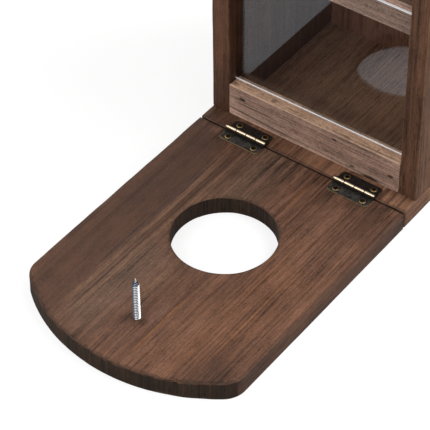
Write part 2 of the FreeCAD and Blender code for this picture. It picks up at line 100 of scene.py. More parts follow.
class Signal:
    """A number that varies over a surface, held as one output socket of a graph's node."""

    def __init__(self, graph: "Graph", socket: Socket) -> None:
        """Keep the graph and the output of its node."""
        self.graph = graph
        self.socket = socket

    def __add__(self, other: "Signal | float") -> "Signal":
        """Add a number or a signal."""
        return self.graph.maths("ADD", self, other)

    def __radd__(self, other: float) -> "Signal":
        """Add to a number."""
        return self.graph.maths("ADD", other, self)

    def __sub__(self, other: "Signal | float") -> "Signal":
        """Take a number or a signal away."""
        return self.graph.maths("SUBTRACT", self, other)

    def __rsub__(self, other: float) -> "Signal":
        """Take away from a number."""
        return self.graph.maths("SUBTRACT", other, self)

    def __mul__(self, other: "Signal | float") -> "Signal":
        """Multiply by a number or a signal."""
        return self.graph.maths("MULTIPLY", self, other)

    def __rmul__(self, other: float) -> "Signal":
        """Multiply a number."""
        return self.graph.maths("MULTIPLY", other, self)

    def __truediv__(self, other: "Signal | float") -> "Signal":
        """Divide by a number or a signal."""
        return self.graph.maths("DIVIDE", self, other)

    def __abs__(self) -> "Signal":
        """Drop the sign."""
        return self.graph.maths("ABSOLUTE", self)

    def root(self) -> "Signal":
        """The square root."""
        return self.graph.maths("SQRT", self)

    def fraction(self) -> "Signal":
        """Keep what follows the decimal point."""
        return self.graph.maths("FRACT", self)

    def at_most(self, other: "Signal | float") -> "Signal":
        """The lesser of this and another value."""
        return self.graph.maths("MINIMUM", self, other)

    def at_least(self, other: "Signal | float") -> "Signal":
        """The greater of this and another value."""
        return self.graph.maths("MAXIMUM", self, other)

    def rise(self, low: float, high: float) -> "Signal":
        """Turn a range smoothly into 0 to 1; the end that gives 1 may be the lesser."""
        return self.graph.spread(self, low, high, "SMOOTHSTEP")


class Graph:
    """The nodes of one material or of the surround."""

    def __init__(self, owner: Material | bpy.types.World) -> None:
        """Start without nodes.

        Args:
            owner: What the nodes belong to.
        """
        owner.use_nodes = True
        self.owner = owner
        self.tree = owner.node_tree
        self.tree.nodes.clear()

    @classmethod
    def of_material(cls, name: str) -> "Graph":
        """The graph of a new material."""
        return cls(bpy.data.materials.new(name))

    def node(
        self, kind: str, settings: dict | None = None, sockets: dict | None = None
    ) -> bpy.types.Node:
        """Add one node.

        Args:
            kind: The node's type.
            settings: Its own settings, which are set first; stops are those of a colour ramp.
            sockets: A value, signal or output for each input, by name or number.

        Returns:
            The node.
        """
        made = self.tree.nodes.new(kind)
        for name, value in (settings or {}).items():
            if name == "stops":
                self._set_stops(made.color_ramp, value)
            else:
                setattr(made, name, value)
        for name, value in (sockets or {}).items():
            target = made.inputs[name]
            if isinstance(value, Signal):
                self.tree.links.new(value.socket, target)
            elif isinstance(value, Socket):
                self.tree.links.new(value, target)
            elif target.type == "RGBA":
                target.default_value = (*value, 1.0)
            else:
                target.default_value = value
        return made

    @staticmethod
    def _set_stops(ramp: bpy.types.ColorRamp, stops: list[tuple[float, float]]) -> None:
        """Give a ramp grey stops.

        Args:
            ramp: The ramp.
            stops: Pairs of place and brightness, in order.
        """
        while len(ramp.elements) < len(stops):
            ramp.elements.new(1.0)
        for element, (place, level) in zip(ramp.elements, stops):
            element.position = place
            element.color = (level, level, level, 1.0)

    def maths(self, operation: str, *values: "Signal | float") -> Signal:
        """Add one Math node, its inputs in order."""
        made = self.node("ShaderNodeMath", {"operation": operation}, dict(enumerate(values)))
        return Signal(self, made.outputs[0])

    def vectors(self, operation: str, *values: object) -> Socket:
        """Add one Vector Math node that gives a vector."""
        made = self.node("ShaderNodeVectorMath", {"operation": operation}, dict(enumerate(values)))
        return made.outputs["Vector"]

    def measure(self, operation: str, *values: object) -> Signal:
        """Add one Vector Math node that gives a number."""
        made = self.node("ShaderNodeVectorMath", {"operation": operation}, dict(enumerate(values)))
        return Signal(self, made.outputs["Value"])

    def spread(self, value: object, low: float, high: float, kind: str = "LINEAR") -> Signal:
        """Turn a range into 0 to 1 and hold it there.

        Args:
            value: A signal or an output.
            low: The value that gives 0.
            high: The value that gives 1.
            kind: How it rises from one to the other.

        Returns:
            The spread value.
        """
        ends = {"Value": value, "From Min": low, "From Max": high, "To Min": 0.0, "To Max": 1.0}
        made = self.node("ShaderNodeMapRange", {"interpolation_type": kind, "clamp": True}, ends)
        return Signal(self, made.outputs[0])

    def place(self, turn: Point = ORIGIN, move: Point = ORIGIN) -> Socket:
        """The surface point in millimetres, turned and then moved.

        Args:
            turn: Euler angles in radians.
            move: Millimetres added after the turn.

        Returns:
            The vector output.
        """
        place = self.node("ShaderNodeTexCoord").outputs["Object"]
        sockets = {"Vector": place, "Rotation": turn, "Location": move, "Scale": (1.0 / MM,) * 3}
        return self.node("ShaderNodeMapping", {"vector_type": "POINT"}, sockets).outputs[0]

    def axes(self, vector: Socket) -> tuple[Signal, Signal, Signal]:
        """Split a vector into its three parts."""
        parts = self.node("ShaderNodeSeparateXYZ", None, {0: vector}).outputs
        return tuple(Signal(self, part) for part in parts)

    def normal(self) -> Socket:
        """The surface's direction in the object's own axes."""
        return self.node("ShaderNodeTexCoord").outputs["Normal"]

    def attribute(self, name: str) -> Signal:
        """A number that the mesh carries at its corners."""
        made = self.node("ShaderNodeAttribute", {"attribute_name": name})
        return Signal(self, made.outputs["Fac"])

    def _noise(self, vector: Socket, pitch: Point, detail: float, roughness: float) -> bpy.types.Node:
        """Noise stretched along the axes.

        Args:
            vector: The place to read it at.
            pitch: Millimetres from one blotch to the next along each axis.
            detail: Levels of finer noise.
            roughness: Share of the finer noise.

        Returns:
            The node.
        """
        scaled = self.vectors("MULTIPLY", vector, tuple(1.0 / step for step in pitch))
        sockets = {"Vector": scaled, "Scale": 1.0, "Detail": detail, "Roughness": roughness}
        return self.node("ShaderNodeTexNoise", {"noise_dimensions": "3D"}, sockets)

    def cloud(
        self,
        vector: Socket,
        pitch: Point,
        detail: float,
        roughness: float,
        low: float = 0.3,
        high: float = 0.7,
    ) -> Signal:
        """Noise whose raw values from low to high are spread over 0 to 1."""
        return self.spread(self._noise(vector, pitch, detail, roughness).outputs[0], low, high)

    def bend(self, vector: Socket, pitch: Point, reach: Point) -> Socket:
        """Move a place about by slow noise, as far along each axis as reach says in millimetres."""
        shift = self.vectors("SUBTRACT", self._noise(vector, pitch, 1.0, 0.4).outputs[1], (0.5, 0.5, 0.5))
        return self.vectors("MULTIPLY_ADD", shift, tuple(2.0 * r for r in reach), vector)

    def blend(self, share: "Signal | float", first: object, second: object) -> Socket:
        """Mix two colours, of which the share of the second shows."""
        settings = {"data_type": "RGBA", "blend_type": "MIX", "clamp_factor": True}
        return self.node("ShaderNodeMix", settings, {0: share, 6: first, 7: second}).outputs[2]

    def shade(self, colour: Socket, level: Signal) -> Socket:
        """Make a colour lighter or darker, by multiplying it."""
        made = self.node("ShaderNodeVectorMath", {"operation": "SCALE"}, {0: colour, "Scale": level})
        return made.outputs[0]

    def bump(self, height: Signal, distance: float, strength: float) -> Socket:
        """Tilt the surface's normal by a height, which is a share of a distance in millimetres."""
        sockets = {"Strength": strength, "Distance": distance * MM, "Height": height}
        return self.node("ShaderNodeBump", None, sockets).outputs[0]

    def surface(self, **sockets: object) -> None:
        """Join the main shader to the output, its inputs named with underscores for spaces."""
        named = {name.replace("_", " "): value for name, value in sockets.items()}
        self.output(self.node("ShaderNodeBsdfPrincipled", None, named).outputs[0])

    def output(self, shader: Socket) -> None:
        """Join a shader to the material's output."""
        self.node("ShaderNodeOutputMaterial", None, {"Surface": shader})


class Grain(Enum):
    """The direction in which a board's fibres run."""

    ACROSS = "x"
    LENGTHWISE = "y"
    UPRIGHT = "z"

    @property
    def turn(self) -> Point:
        """The turn that lays the fibres along the second axis."""
        right = math.pi / 2
        return {"x": (0.0, 0.0, right), "y": ORIGIN, "z": (-right, 0.0, 0.0)}[self.value]

    @property
    def axis(self) -> Point:
        """The fibres' direction in the row frame."""
        return {"x": RIGHTWARD, "y": BACKWARD, "z": UP}[self.value]


class Side(Enum):
    """Which way across the fibres a mark's place is measured, after the turn."""

    FLAT = 0
    EDGE = 2


class Tint(Enum):
    """Colours that the stain takes where the timber differs."""

    DARK = paint(50, 34, 27)
    SHADE = paint(66, 50, 44)
    WARM = paint(128, 86, 62)
    BLACK = paint(26, 18, 15)
    GOLD = paint(150, 98, 58)
    TAN = paint(128, 97, 75)
    GREY = paint(108, 86, 72)
    PINK = paint(132, 98, 84)
    PALE = paint(190, 160, 140)
    BUFF = paint(156, 118, 92)


@dataclass(frozen=True)
class Streak:
    """A band of another tint that follows the fibres.

    Attributes:
        level: Its middle across the fibres, in millimetres.
        width: From its middle to where it has faded out.
        start: Where it begins along the fibres.
        stop: Where it ends along the fibres.
        tint: Its colour.
        share: How strong it is.
        fade: Length over which each end fades.
        side: The way across in which level is measured.
        lean: Millimetres that it drifts across for each one along, from where it begins.
    """

    level: float
    width: float
    start: float
    stop: float
    tint: Tint
    share: float
    fade: float = 18.0
    side: Side = Side.FLAT
    lean: float = 0.0

    def lay(self, graph: Graph, colour: Socket, place: tuple[Signal, ...]) -> Socket:
        """Lay the streak over a colour.

        Args:
            graph: The material's graph.
            colour: The colour below it.
            place: The three parts of the bent place.

        Returns:
            The new colour.
        """
        middle = self.level if self.lean == 0.0 else (place[1] - self.start) * self.lean + self.level
        across = abs(place[self.side.value] - middle).rise(self.width, 0.0)
        along = place[1].rise(self.start, self.start + self.fade)
        along = along * place[1].rise(self.stop, self.stop - self.fade)
        return graph.blend(across * along * self.share, colour, self.tint.value)


@dataclass(frozen=True)
class Knot:
    """A small dark knot or blemish.

    Attributes:
        along: Its place along the fibres.
        level: Its place across the fibres.
        length: Half its length along the fibres.
        width: Half its width across them.
        share: How strong it is.
        side: The way across in which level is measured.
    """

    along: float
    level: float
    length: float
    width: float
    share: float = 0.85
    side: Side = Side.EDGE

    def lay(self, graph: Graph, colour: Socket, place: tuple[Signal, ...]) -> Socket:
        """Lay the knot over a colour.

        Args:
            graph: The material's graph.
            colour: The colour below it.
            place: The three parts of the bent place.

        Returns:
            The new colour.
        """
        along = (place[1] - self.along) / self.length
        across = (place[self.side.value] - self.level) / self.width
        inside = (along * along + across * across).rise(1.3, 0.15)
        return graph.blend(inside * self.share, colour, Tint.BLACK.value)


@dataclass(frozen=True)
class Ring:
    """A ragged stain along a round edge.

    Attributes:
        level: Its middle across the fibres.
        along: Its middle along the fibres.
        radius: Radius of the edge.
        width: How far the stain reaches from the edge.
        share: How strong it is.
    """

    level: float
    along: float
    radius: float
    width: float
    share: float

    def lay(self, graph: Graph, colour: Socket, place: tuple[Signal, ...]) -> Socket:
        """Lay the stain over a colour.

        Args:
            graph: The material's graph.
            colour: The colour below it.
            place: The three parts of the bent place.

        Returns:
            The new colour.
        """
        across, along = place[0] - self.level, place[1] - self.along
        away = abs((across * across + along * along).root() - self.radius)
        ragged = graph.cloud(graph.place(), (3.4, 3.4, 3.4), 3.0, 0.65)
        near = (away / self.width + (ragged - 0.5) * 1.1).rise(1.0, 0.2)
        return graph.blend(near * self.share, colour, Tint.BLACK.value)


@dataclass(frozen=True)
class Wood:
    """Sanded and stained softwood.

    Attributes:
        name: The material's name.
        grain: The fibres' direction.
        deep: The darker colour of its broad bands.
        light: The lighter colour of its broad bands.
        ends: How bright end grain is beside the face.
        pith: Place of the tree's middle across the fibres, in the turned axes.
        ring: Millimetres from ring to ring.
        contrast: How strongly rings and fibres show.
        move: Shift of the pattern, which also sets where along and level are counted from.
        worn: The colour that worn arrises show, which on the pale boards also paints the highlight they
            catch.
        wear_and_sheen: How much of it shows.
        rough: Roughness of the face.
        crown: The colour painted on faces that look up, as the light that falls on them from above.
        top_light_share: How much of that painted light shows.
        pores: How strongly the pores show.
        calm: The level across the fibres below which the figure is faint.
        torn: The place along the fibres beyond which they are torn.
        grit: How strongly the finest specks show.
        square: Whether the board is square all round, so that its upright arrises rub as well.
        marks: Streaks and knots in the order in which they lie.
    """

    name: str
    grain: Grain
    deep: Colour
    light: Colour
    ends: float = 0.4
    pith: tuple[float, float] = (12.0, -46.0)
    ring: float = 3.6
    contrast: float = 1.0
    move: Point = ORIGIN
    worn: Colour = paint(140, 104, 80)
    wear_and_sheen: float = 0.45
    rough: float = 0.56
    crown: Colour = paint(170, 136, 108)
    top_light_share: float = 0.0
    pores: float = 1.0
    calm: float = -1000.0
    torn: float = 1000.0
    grit: float = 0.26
    square: bool = False
    marks: tuple[Streak | Knot | Ring, ...] = ()

    def dress(self) -> Material:
        """Make the material.

        Returns:
            The material.
        """
        graph = Graph.of_material(self.name)
        place = graph.place(self.grain.turn, self.move)
        bent = graph.bend(place, (45.0, 240.0, 45.0), (2.6, 0.0, 2.6))
        bent = graph.bend(bent, (9.0, 40.0, 9.0), (0.6, 0.0, 0.6))
        broad = graph.cloud(bent, (26.0, 500.0, 26.0), 1.0, 0.5, 0.32, 0.68)
        band = graph.cloud(bent, (5.2, 200.0, 5.2), 2.0, 0.55)
        fibre = graph.cloud(bent, (1.5, 85.0, 1.5), 2.0, 0.6, 0.28, 0.72)
        fine = graph.cloud(bent, (0.8, 12.0, 0.8), 1.0, 0.5, 0.25, 0.75)
        fleck = graph.cloud(bent, (1.3, 5.0, 1.3), 2.0, 0.6, 0.28, 0.72)
        pore = graph.cloud(bent, (0.8, 9.0, 0.8), 1.0, 0.5, 0.60, 0.72)
        blotch = graph.cloud(place, (34.0, 60.0, 34.0), 3.0, 0.6)
        stain = graph.cloud(place, (12.0, 20.0, 12.0), 3.0, 0.6)
        ring = self._rings(graph, bent)
        tone = broad * 0.34 + band * 0.46 + blotch * 0.20
        colour = graph.blend(tone, self.deep, self.light)
        parts = graph.axes(bent)
        # Painted light: faces that look up take the crown colour, as the light from above would brighten
        # them.
        if self.top_light_share > 0.0:
            up = graph.axes(graph.normal())[2].rise(0.6, 0.9)
            colour = graph.blend(up * self.top_light_share * (0.7 + 0.3 * blotch), colour, self.crown)
        for mark in self.marks:
            colour = mark.lay(graph, colour, parts)
        lines = (fibre - 0.5) * 0.54 + (fine - 0.5) * 0.28 + (fleck - 0.5) * 0.2
        lines = lines - ring * 0.34 - pore * (0.36 * self.pores)
        figure = 1.0 - 0.6 * parts[0].rise(self.calm + 5.0, self.calm - 5.0)
        figure = figure + parts[1].rise(self.torn, self.torn + 24.0) * 0.9
        grit = graph.cloud(place, (1.2, 1.8, 1.2), 2.0, 0.7)
        level = 1.16 + (lines * figure + (stain - 0.5) * 0.28) * self.contrast + (grit - 0.5) * self.grit
        colour = graph.shade(colour, level.at_least(0.2))
        end = self._end(graph)
        colour = graph.shade(colour, 1.0 - end * (1.0 - self.ends) * (0.75 + 0.5 * blotch))
        # Arrises take the worn colour, which is wear, and on the pale boards also a painted highlight.
        wear_and_sheen = self._arris(graph) * graph.cloud(place, (7.0, 7.0, 7.0), 3.0, 0.6, 0.35, 0.62) * self.wear_and_sheen
        colour = graph.blend(wear_and_sheen, colour, self.worn)
        height = fibre * 0.45 + fine * 0.25 + ring * 0.3 - pore * 0.6
        graph.surface(
            Base_Color=colour,
            Roughness=(self.rough + 0.12 * (fibre - 0.5) + 0.14 * (blotch - 0.5) + end * 0.2).at_most(0.95),
            Specular_IOR_Level=0.2,
            Normal=graph.bump(height, 0.2, 0.8),
        )
        return graph.owner

    def _rings(self, graph: Graph, bent: Socket) -> Signal:
        """Dark late wood in rings about the pith.

        Args:
            graph: The material's graph.
            bent: The bent place.

        Returns:
            0 in early wood and up to 1 in late wood.
        """
        away = graph.vectors("SUBTRACT", bent, (self.pith[0], 0.0, self.pith[1]))
        flat = graph.vectors("MULTIPLY", away, (1.0, 0.0, 1.0))
        radius = graph.measure("LENGTH", flat)
        uneven = graph.cloud(bent, (13.0, 900.0, 13.0), 1.0, 0.5)
        year = (radius / self.ring + uneven * 1.6).fraction()
        stops = [(0.0, 0.45), (0.1, 0.0), (0.45, 0.06), (0.82, 0.8), (0.93, 1.0), (1.0, 0.45)]
        late = graph.node("ShaderNodeValToRGB", {"stops": stops}, {0: year}).outputs[0]
        weight = graph.cloud(bent, (7.0, 160.0, 7.0), 1.0, 0.5, 0.36, 0.66)
        return Signal(graph, late) * weight

    def _end(self, graph: Graph) -> Signal:
        """1 where the surface crosses the fibres, as at a board's ends."""
        return abs(graph.measure("DOT_PRODUCT", graph.normal(), self.grain.axis)).rise(0.45, 0.8)

    def _arris(self, graph: Graph) -> Signal:
        """Find the rounded edges that rubbing reaches.

        Args:
            graph: The material's graph.

        Returns:
            1 on those edges.
        """
        parts = [abs(part) for part in graph.axes(graph.normal())]
        if self.square:
            return parts[0].at_least(parts[1]).at_least(parts[2]).rise(0.985, 0.88)
        return parts[2].rise(0.08, 0.35) * parts[2].rise(0.995, 0.9)


@dataclass(frozen=True)
class Metal:
    """A metal with a mottled film, bright rims that are worn on the leaves and painted highlights elsewhere,
    and painted shade.

    Attributes:
        name: The material's name.
        film: The colour of the film.
        mottle: The film's second colour.
        bright: The colour of the bare metal and of the painted highlights.
        rough: Roughness of the film.
        polish: Roughness of the bare metal.
        bare: Share of bare metal away from the rims.
        metallic: How metallic the film is.
        speck: Millimetres from one blotch of the film to the next.
        chips: How patchy the bare rims are.
    """

    name: str
    film: Colour
    mottle: Colour
    bright: Colour
    rough: float
    polish: float
    bare: float = 0.0
    metallic: float = 0.85
    speck: float = 2.2
    chips: float = 0.55

    def dress(self) -> Material:
        """Make the material.

        Returns:
            The material.
        """
        graph = Graph.of_material(self.name)
        place = graph.place()
        blotch = graph.cloud(place, (self.speck,) * 3, 3.0, 0.6, 0.32, 0.68)
        grit = graph.cloud(place, (0.35,) * 3, 2.0, 0.6)
        film = graph.blend(blotch, self.film, self.mottle)
        chipped = graph.cloud(place, (0.9,) * 3, 3.0, 0.65, 0.38, 0.6)
        # The rim attribute is wear on the leaves' corners, and a painted highlight on barrels, pins and
        # screws.
        rim = graph.attribute("rim").rise(0.2, 1.0) * (1.0 - self.chips + self.chips * chipped)
        # This attribute is painted shade: in screw recesses, at thread roots, and beside barrels and screw
        # heads.
        dark = graph.attribute("painted_shade")
        bare = (rim + self.bare * (0.75 + 0.25 * chipped)).at_most(1.0)
        colour = graph.blend(bare, film, self.bright)
        colour = graph.shade(colour, (1.0 - 0.8 * dark) * (0.94 + 0.12 * grit))
        graph.surface(
            Base_Color=colour,
            Metallic=(self.metallic + bare * (1.0 - self.metallic)).at_most(1.0),
            Roughness=(self.rough + bare * (self.polish - self.rough) + 0.08 * (grit - 0.5)).at_least(0.08),
            Normal=graph.bump(blotch * 0.6 + grit * 0.4, 0.03, 0.6),
        )
        return graph.owner


@dataclass(frozen=True)
class Acrylic:
    """Clear sheet that lamps shine through.

    Attributes:
        name: The material's name.
        bend: Its index of refraction.
    """

    name: str
    bend: float = 1.47

    def dress(self) -> Material:
        """Make the material.

        Returns:
            The material.
        """
        graph = Graph.of_material(self.name)
        place = graph.place()
        haze = graph.cloud(place, (30.0, 30.0, 18.0), 3.0, 0.6, 0.35, 0.75)
        shader = graph.node(
            "ShaderNodeBsdfPrincipled",
            None,
            {
                "Base Color": graph.blend(haze, paint(250, 252, 253), paint(244, 247, 249)),
                "Roughness": haze * 0.02,
                "IOR": self.bend,
                "Transmission Weight": 1.0,
                "Specular Tint": (0.94, 0.93, 1.0),
            },
        )
        clear = graph.node("ShaderNodeBsdfTransparent", None, {"Color": paint(246, 248, 249)})
        rays = graph.node("ShaderNodeLightPath").outputs
        lamp = Signal(graph, rays["Is Shadow Ray"]).at_least(Signal(graph, rays["Is Diffuse Ray"]))
        mixed = graph.node("ShaderNodeMixShader", None, {0: lamp, 1: shader.outputs[0], 2: clear.outputs[0]})
        graph.output(mixed.outputs[0])
        return graph.owner


@dataclass(frozen=True)
class SawnEdge:
    """The matt, bluish white cut edge of clear sheet.

    Attributes:
        name: The material's name.
        edge_glow: Strength of the emission, a painted light for the light that the sheet leads to its edge.
    """

    name: str
    edge_glow: float = 0.25

    def dress(self) -> Material:
        """Make the material.

        Returns:
            The material.
        """
        graph = Graph.of_material(self.name)
        place = graph.place()
        teeth = graph.cloud(place, (0.5, 4.0, 4.0), 2.0, 0.6)
        haze = graph.cloud(place, (14.0, 8.0, 8.0), 2.0, 0.5)
        colour = graph.blend(0.6 * teeth + 0.4 * haze, paint(222, 226, 232), paint(250, 251, 253))
        graph.surface(
            Base_Color=colour,
            Roughness=0.5 + 0.15 * teeth,
            Normal=graph.bump(teeth, 0.05, 0.5),
            # Painted light: the edge glows by its own emission, as a painted glint.
            Emission_Color=colour,
            Emission_Strength=self.edge_glow,
        )
        return graph.owner


# Shaping


class Form:
    """A mesh under work, in millimetres of the row frame."""

    def __init__(self) -> None:
        """Start with nothing."""
        self.mesh = bmesh.new()

    @classmethod
    def block(cls, low: Point, high: Point) -> "Form":
        """A block between two corners.

        Args:
            low: Lowest corner.
            high: Highest corner.

        Returns:
            The form.
        """
        form = cls()
        low, high = Vector(low), Vector(high)
        frame_of = Matrix.Translation((low + high) / 2) @ Matrix.Diagonal((*(high - low), 1.0))
        bmesh.ops.create_cube(form.mesh, size=1.0, matrix=frame_of)
        return form

    @classmethod
    def rod(cls, foot: Point, direction: Point, length: float, radius: float, sides: int) -> "Form":
        """A round rod.

        Args:
            foot: The middle of its first end.
            direction: The way that it runs.
            length: Its length.
            radius: Its radius.
            sides: Number of sides.

        Returns:
            The form.
        """
        form = cls()
        turn = Vector(direction).to_track_quat("Z", "Y").to_matrix().to_4x4()
        place = Matrix.Translation(foot) @ turn @ Matrix.Translation((0.0, 0.0, length / 2))
        ends = {"radius1": radius, "radius2": radius, "depth": length}
        bmesh.ops.create_cone(form.mesh, cap_ends=True, segments=sides, matrix=place, **ends)
        return form

    @classmethod
    def turned(cls, outline: list[tuple[float, float]], sides: int) -> "Form":
        """A solid turned about the upright axis.

        Args:
            outline: Pairs of radius and height from the top of the axis to its foot.
            sides: Number of steps round.

        Returns:
            The form.
        """
        form = cls()
        points = [form.mesh.verts.new((radius, 0.0, height)) for radius, height in outline]
        edges = [form.mesh.edges.new(pair) for pair in zip(points, points[1:])]
        form.spin([*points, *edges], ORIGIN, UP, math.tau, sides, use_merge=True)
        return form.weld()

    def everything(self) -> list[Vert | Edge | Face]:
        """Every point, edge and face."""
        return [*self.mesh.verts, *self.mesh.edges, *self.mesh.faces]

    def spin(
        self, items: list, middle: Point, axis: Point, angle: float, steps: int, **extra: object
    ) -> dict[str, list]:
        """Carry points, edges and faces round an axis, with what else the operator takes."""
        turn = {"cent": middle, "axis": axis, "angle": angle, "steps": steps}
        return bmesh.ops.spin(self.mesh, geom=items, **turn, **extra)

    def weld(self) -> "Form":
        """Merge points that coincide and turn the faces outwards.

        Returns:
            This form.
        """
        bmesh.ops.remove_doubles(self.mesh, verts=self.mesh.verts, dist=WELD)
        bmesh.ops.recalc_face_normals(self.mesh, faces=self.mesh.faces)
        return self

    def turn_into(self, matrix: Matrix) -> "Form":
        """Move the form by a matrix."""
        bmesh.ops.transform(self.mesh, matrix=matrix, verts=self.mesh.verts)
        return self

    def join(self, other: "Form") -> "Form":
        """Take another form's faces in.

        Args:
            other: The other form, which is used up.

        Returns:
            This form.
        """
        held = bpy.data.meshes.new("held")
        other.mesh.to_mesh(held)
        other.mesh.free()
        self.mesh.from_mesh(held)
        bpy.data.meshes.remove(held)
        return self

    def sweep(self, start: Vert, middle: Point, angle: float, steps: int) -> Vert:
        """Draw an arc of some edges from a point about a middle, and return the point where it ends."""
        made = self.spin([start], middle, UP, angle, steps, use_merge=False)
        return next(item for item in made["geom_last"] if isinstance(item, Vert))

    def trim(self, point: Point, outward: Point) -> "Form":
        """Cut away what lies beyond a plane and close the cut.

        Args:
            point: A point of the plane.
            outward: The side that is cut away.

        Returns:
            This form.
        """
        made = bmesh.ops.bisect_plane(
            self.mesh, geom=self.everything(), dist=1e-5, plane_co=point, plane_no=outward, clear_outer=True
        )
        rim = [item for item in made["geom_cut"] if isinstance(item, Edge)]
        bmesh.ops.contextual_create(self.mesh, geom=rim)
        return self

    def round_over(self, radius: float, wanted: EdgeTest | None = None, segments: int = 3) -> "Form":
        """Round the edges where two faces meet at an angle.

        Args:
            radius: Distance from the edge at which rounding starts.
            wanted: Which of those edges are rounded, or all of them.
            segments: Strips across the rounding.

        Returns:
            This form.
        """
        steep = [e for e in self.mesh.edges if len(e.link_faces) == 2 and e.calc_face_angle() > CREASE]
        edges = [edge for edge in steep if wanted is None or wanted(edge)]
        bmesh.ops.bevel(
            self.mesh,
            geom=edges,
            offset=radius,
            offset_type="OFFSET",
            affect="EDGES",
            segments=segments,
            profile=0.5,
            material=-1,
            clamp_overlap=True,
        )
        return self

    def carve(self, cutters: list["Form"]) -> "Form":
        """Cut other forms out of this one.

        Args:
            cutters: The forms to cut, which are used up.

        Returns:
            This form.
        """
        tool = Form()
        for cutter in cutters:
            tool.join(cutter)
        body, knife = self._loose("body"), tool._loose("knife")
        modifier = body.modifiers.new("carve", "BOOLEAN")
        modifier.operation, modifier.solver, modifier.object = "DIFFERENCE", "EXACT", knife
        modifier.use_self = True
        graph = bpy.context.evaluated_depsgraph_get()
        result = bpy.data.meshes.new_from_object(body.evaluated_get(graph))
        self.mesh = bmesh.new()
        self.mesh.from_mesh(result)
        for thing in (body, knife):
            held = thing.data
            bpy.data.objects.remove(thing)
            bpy.data.meshes.remove(held)
        bpy.data.meshes.remove(result)
        return self

    def _loose(self, name: str) -> bpy.types.Object:
        """Lay the form out as a plain object for one modifier.

        Args:
            name: The object's name.

        Returns:
            The object, which takes the form's place.
        """
        held = bpy.data.meshes.new(name)
        self.mesh.to_mesh(held)
        self.mesh.free()
        thing = bpy.data.objects.new(name, held)
        bpy.context.scene.collection.objects.link(thing)
        return thing

    def cut(self, point: Point, normal: Point) -> "Form":
        """Divide the faces along one plane."""
        bmesh.ops.bisect_plane(self.mesh, geom=self.everything(), dist=1e-4, plane_co=point, plane_no=normal)
        return self

    def refine(self, steps: Point) -> "Form":
        """Divide the faces by planes across each axis.

        Args:
            steps: Millimetres from plane to plane along each axis, or 0 for none.

        Returns:
            This form.
        """
        corners = [vert.co for vert in self.mesh.verts]
        for index, step in enumerate(steps):
            if step <= 0.0:
                continue
            low, high = min(c[index] for c in corners), max(c[index] for c in corners)
            count = max(1, round((high - low) / step))
            normal = Vector([1.0 if index == axis else 0.0 for axis in range(3)])
            for number in range(1, count):
                self.cut(normal * (low + (high - low) * number / count), normal)
            corners = [vert.co for vert in self.mesh.verts]
        return self

    def weather(self, grain: Grain, seed: float, face: float, arris: float) -> "Form":
        """Sink the surface a little, as sanding and handling do.

        Args:
            grain: The fibres' direction.
            seed: Moves the noise for each board.
            face: Deepest sink of a flat face.
            arris: Deepest sink of a rounded edge.

        Returns:
            This form.
        """
        self.mesh.normal_update()
        stretch = Vector([ALONG_FIBRES if axis > 0.5 else ACROSS_FIBRES for axis in grain.axis])
        moves = []
        for vert in self.mesh.verts:
            normal = vert.normal
            spot = Vector((vert.co.x * stretch.x, vert.co.y * stretch.y, vert.co.z * stretch.z))
            low = max(0.0, 0.55 + 0.5 * noise.noise(spot + Vector((seed, 3.1, 7.7))))
            edge = min(1.0, (1.0 - max(abs(part) for part in normal)) / 0.2)
            rub = max(0.0, noise.noise(vert.co * 0.07 + Vector((seed, 0.0, 1.3))) + 0.15)
            moves.append(-normal * (face * low * (1.0 - edge) + edge * arris * rub))
        spots = [vert.co.copy() for vert in self.mesh.verts]
        low, high = (Vector([pick(spot[axis] for spot in spots) for axis in range(3)]) for pick in (min, max))
        for vert, move in zip(self.mesh.verts, moves):
            moved = vert.co + move
            vert.co = [min(high[axis], max(low[axis], moved[axis])) for axis in range(3)]
        return self

    def number(self, name: str, measure: Callable[[Vert], float]) -> "Form":
        """Keep a number at each corner for the material.

        Args:
            name: The attribute's name.
            measure: Gives the number for a vertex.

        Returns:
            This form.
        """
        layer = self.mesh.verts.layers.float.get(name) or self.mesh.verts.layers.float.new(name)
        for vert in self.mesh.verts:
            vert[layer] = measure(vert)
        return self


@dataclass(frozen=True)
class Piece:
    """What a finished form stands for.

    Attributes:
        name: Name of the object.
        body: The body that it rides on.
        slot: The record's material slot, which is not used.
        nodes: The frame's nodes that it replaces.
    """

    name: str
    body: str
    slot: str
    nodes: tuple[str, ...]

    def finish(self, form: Form, *materials: Material, smooth: bool = True) -> None:
        """Turn a form into an object on its body.

        Args:
            form: The form, which is used up.
            materials: The object's materials in order.
            smooth: Whether shallow edges shade smoothly.
        """
        bmesh.ops.transform(form.mesh, matrix=Matrix.Scale(MM, 4), verts=form.mesh.verts)
        form.mesh.normal_update()
        data = bpy.data.meshes.new(self.name)
        form.mesh.to_mesh(data)
        form.mesh.free()
        data.set_sharp_from_angle(angle=SHARP_ANGLE if smooth else 0.0)
        for material in materials:
            data.materials.append(material)
        made = bpy.data.objects.new(self.name, data)
        bpy.context.scene.collection.objects.link(made)
        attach(made, self.body)
        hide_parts(*self.nodes)
        LOG.info("%s: %d faces on %s", self.name, len(data.polygons), self.body)


def is_steep(edge: Edge) -> bool:
    """Whether two faces meet at a sharp corner."""
    return edge.calc_face_angle() > STEEP


def away_of(vert: Vert) -> float:
    """A point's distance from the upright axis."""
    return math.hypot(vert.co.x, vert.co.y)


def midway(low: Vector, high: Vector, height: float) -> Matrix:
    """The place midway between two corners, at one height."""
    return Matrix.Translation(((low.x + high.x) / 2, (low.y + high.y) / 2, height))


def corners_of(node: str) -> tuple[Vector, Vector]:
    """A node's lowest and highest corner in millimetres."""
    low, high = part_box(node)
    return low / MM, high / MM


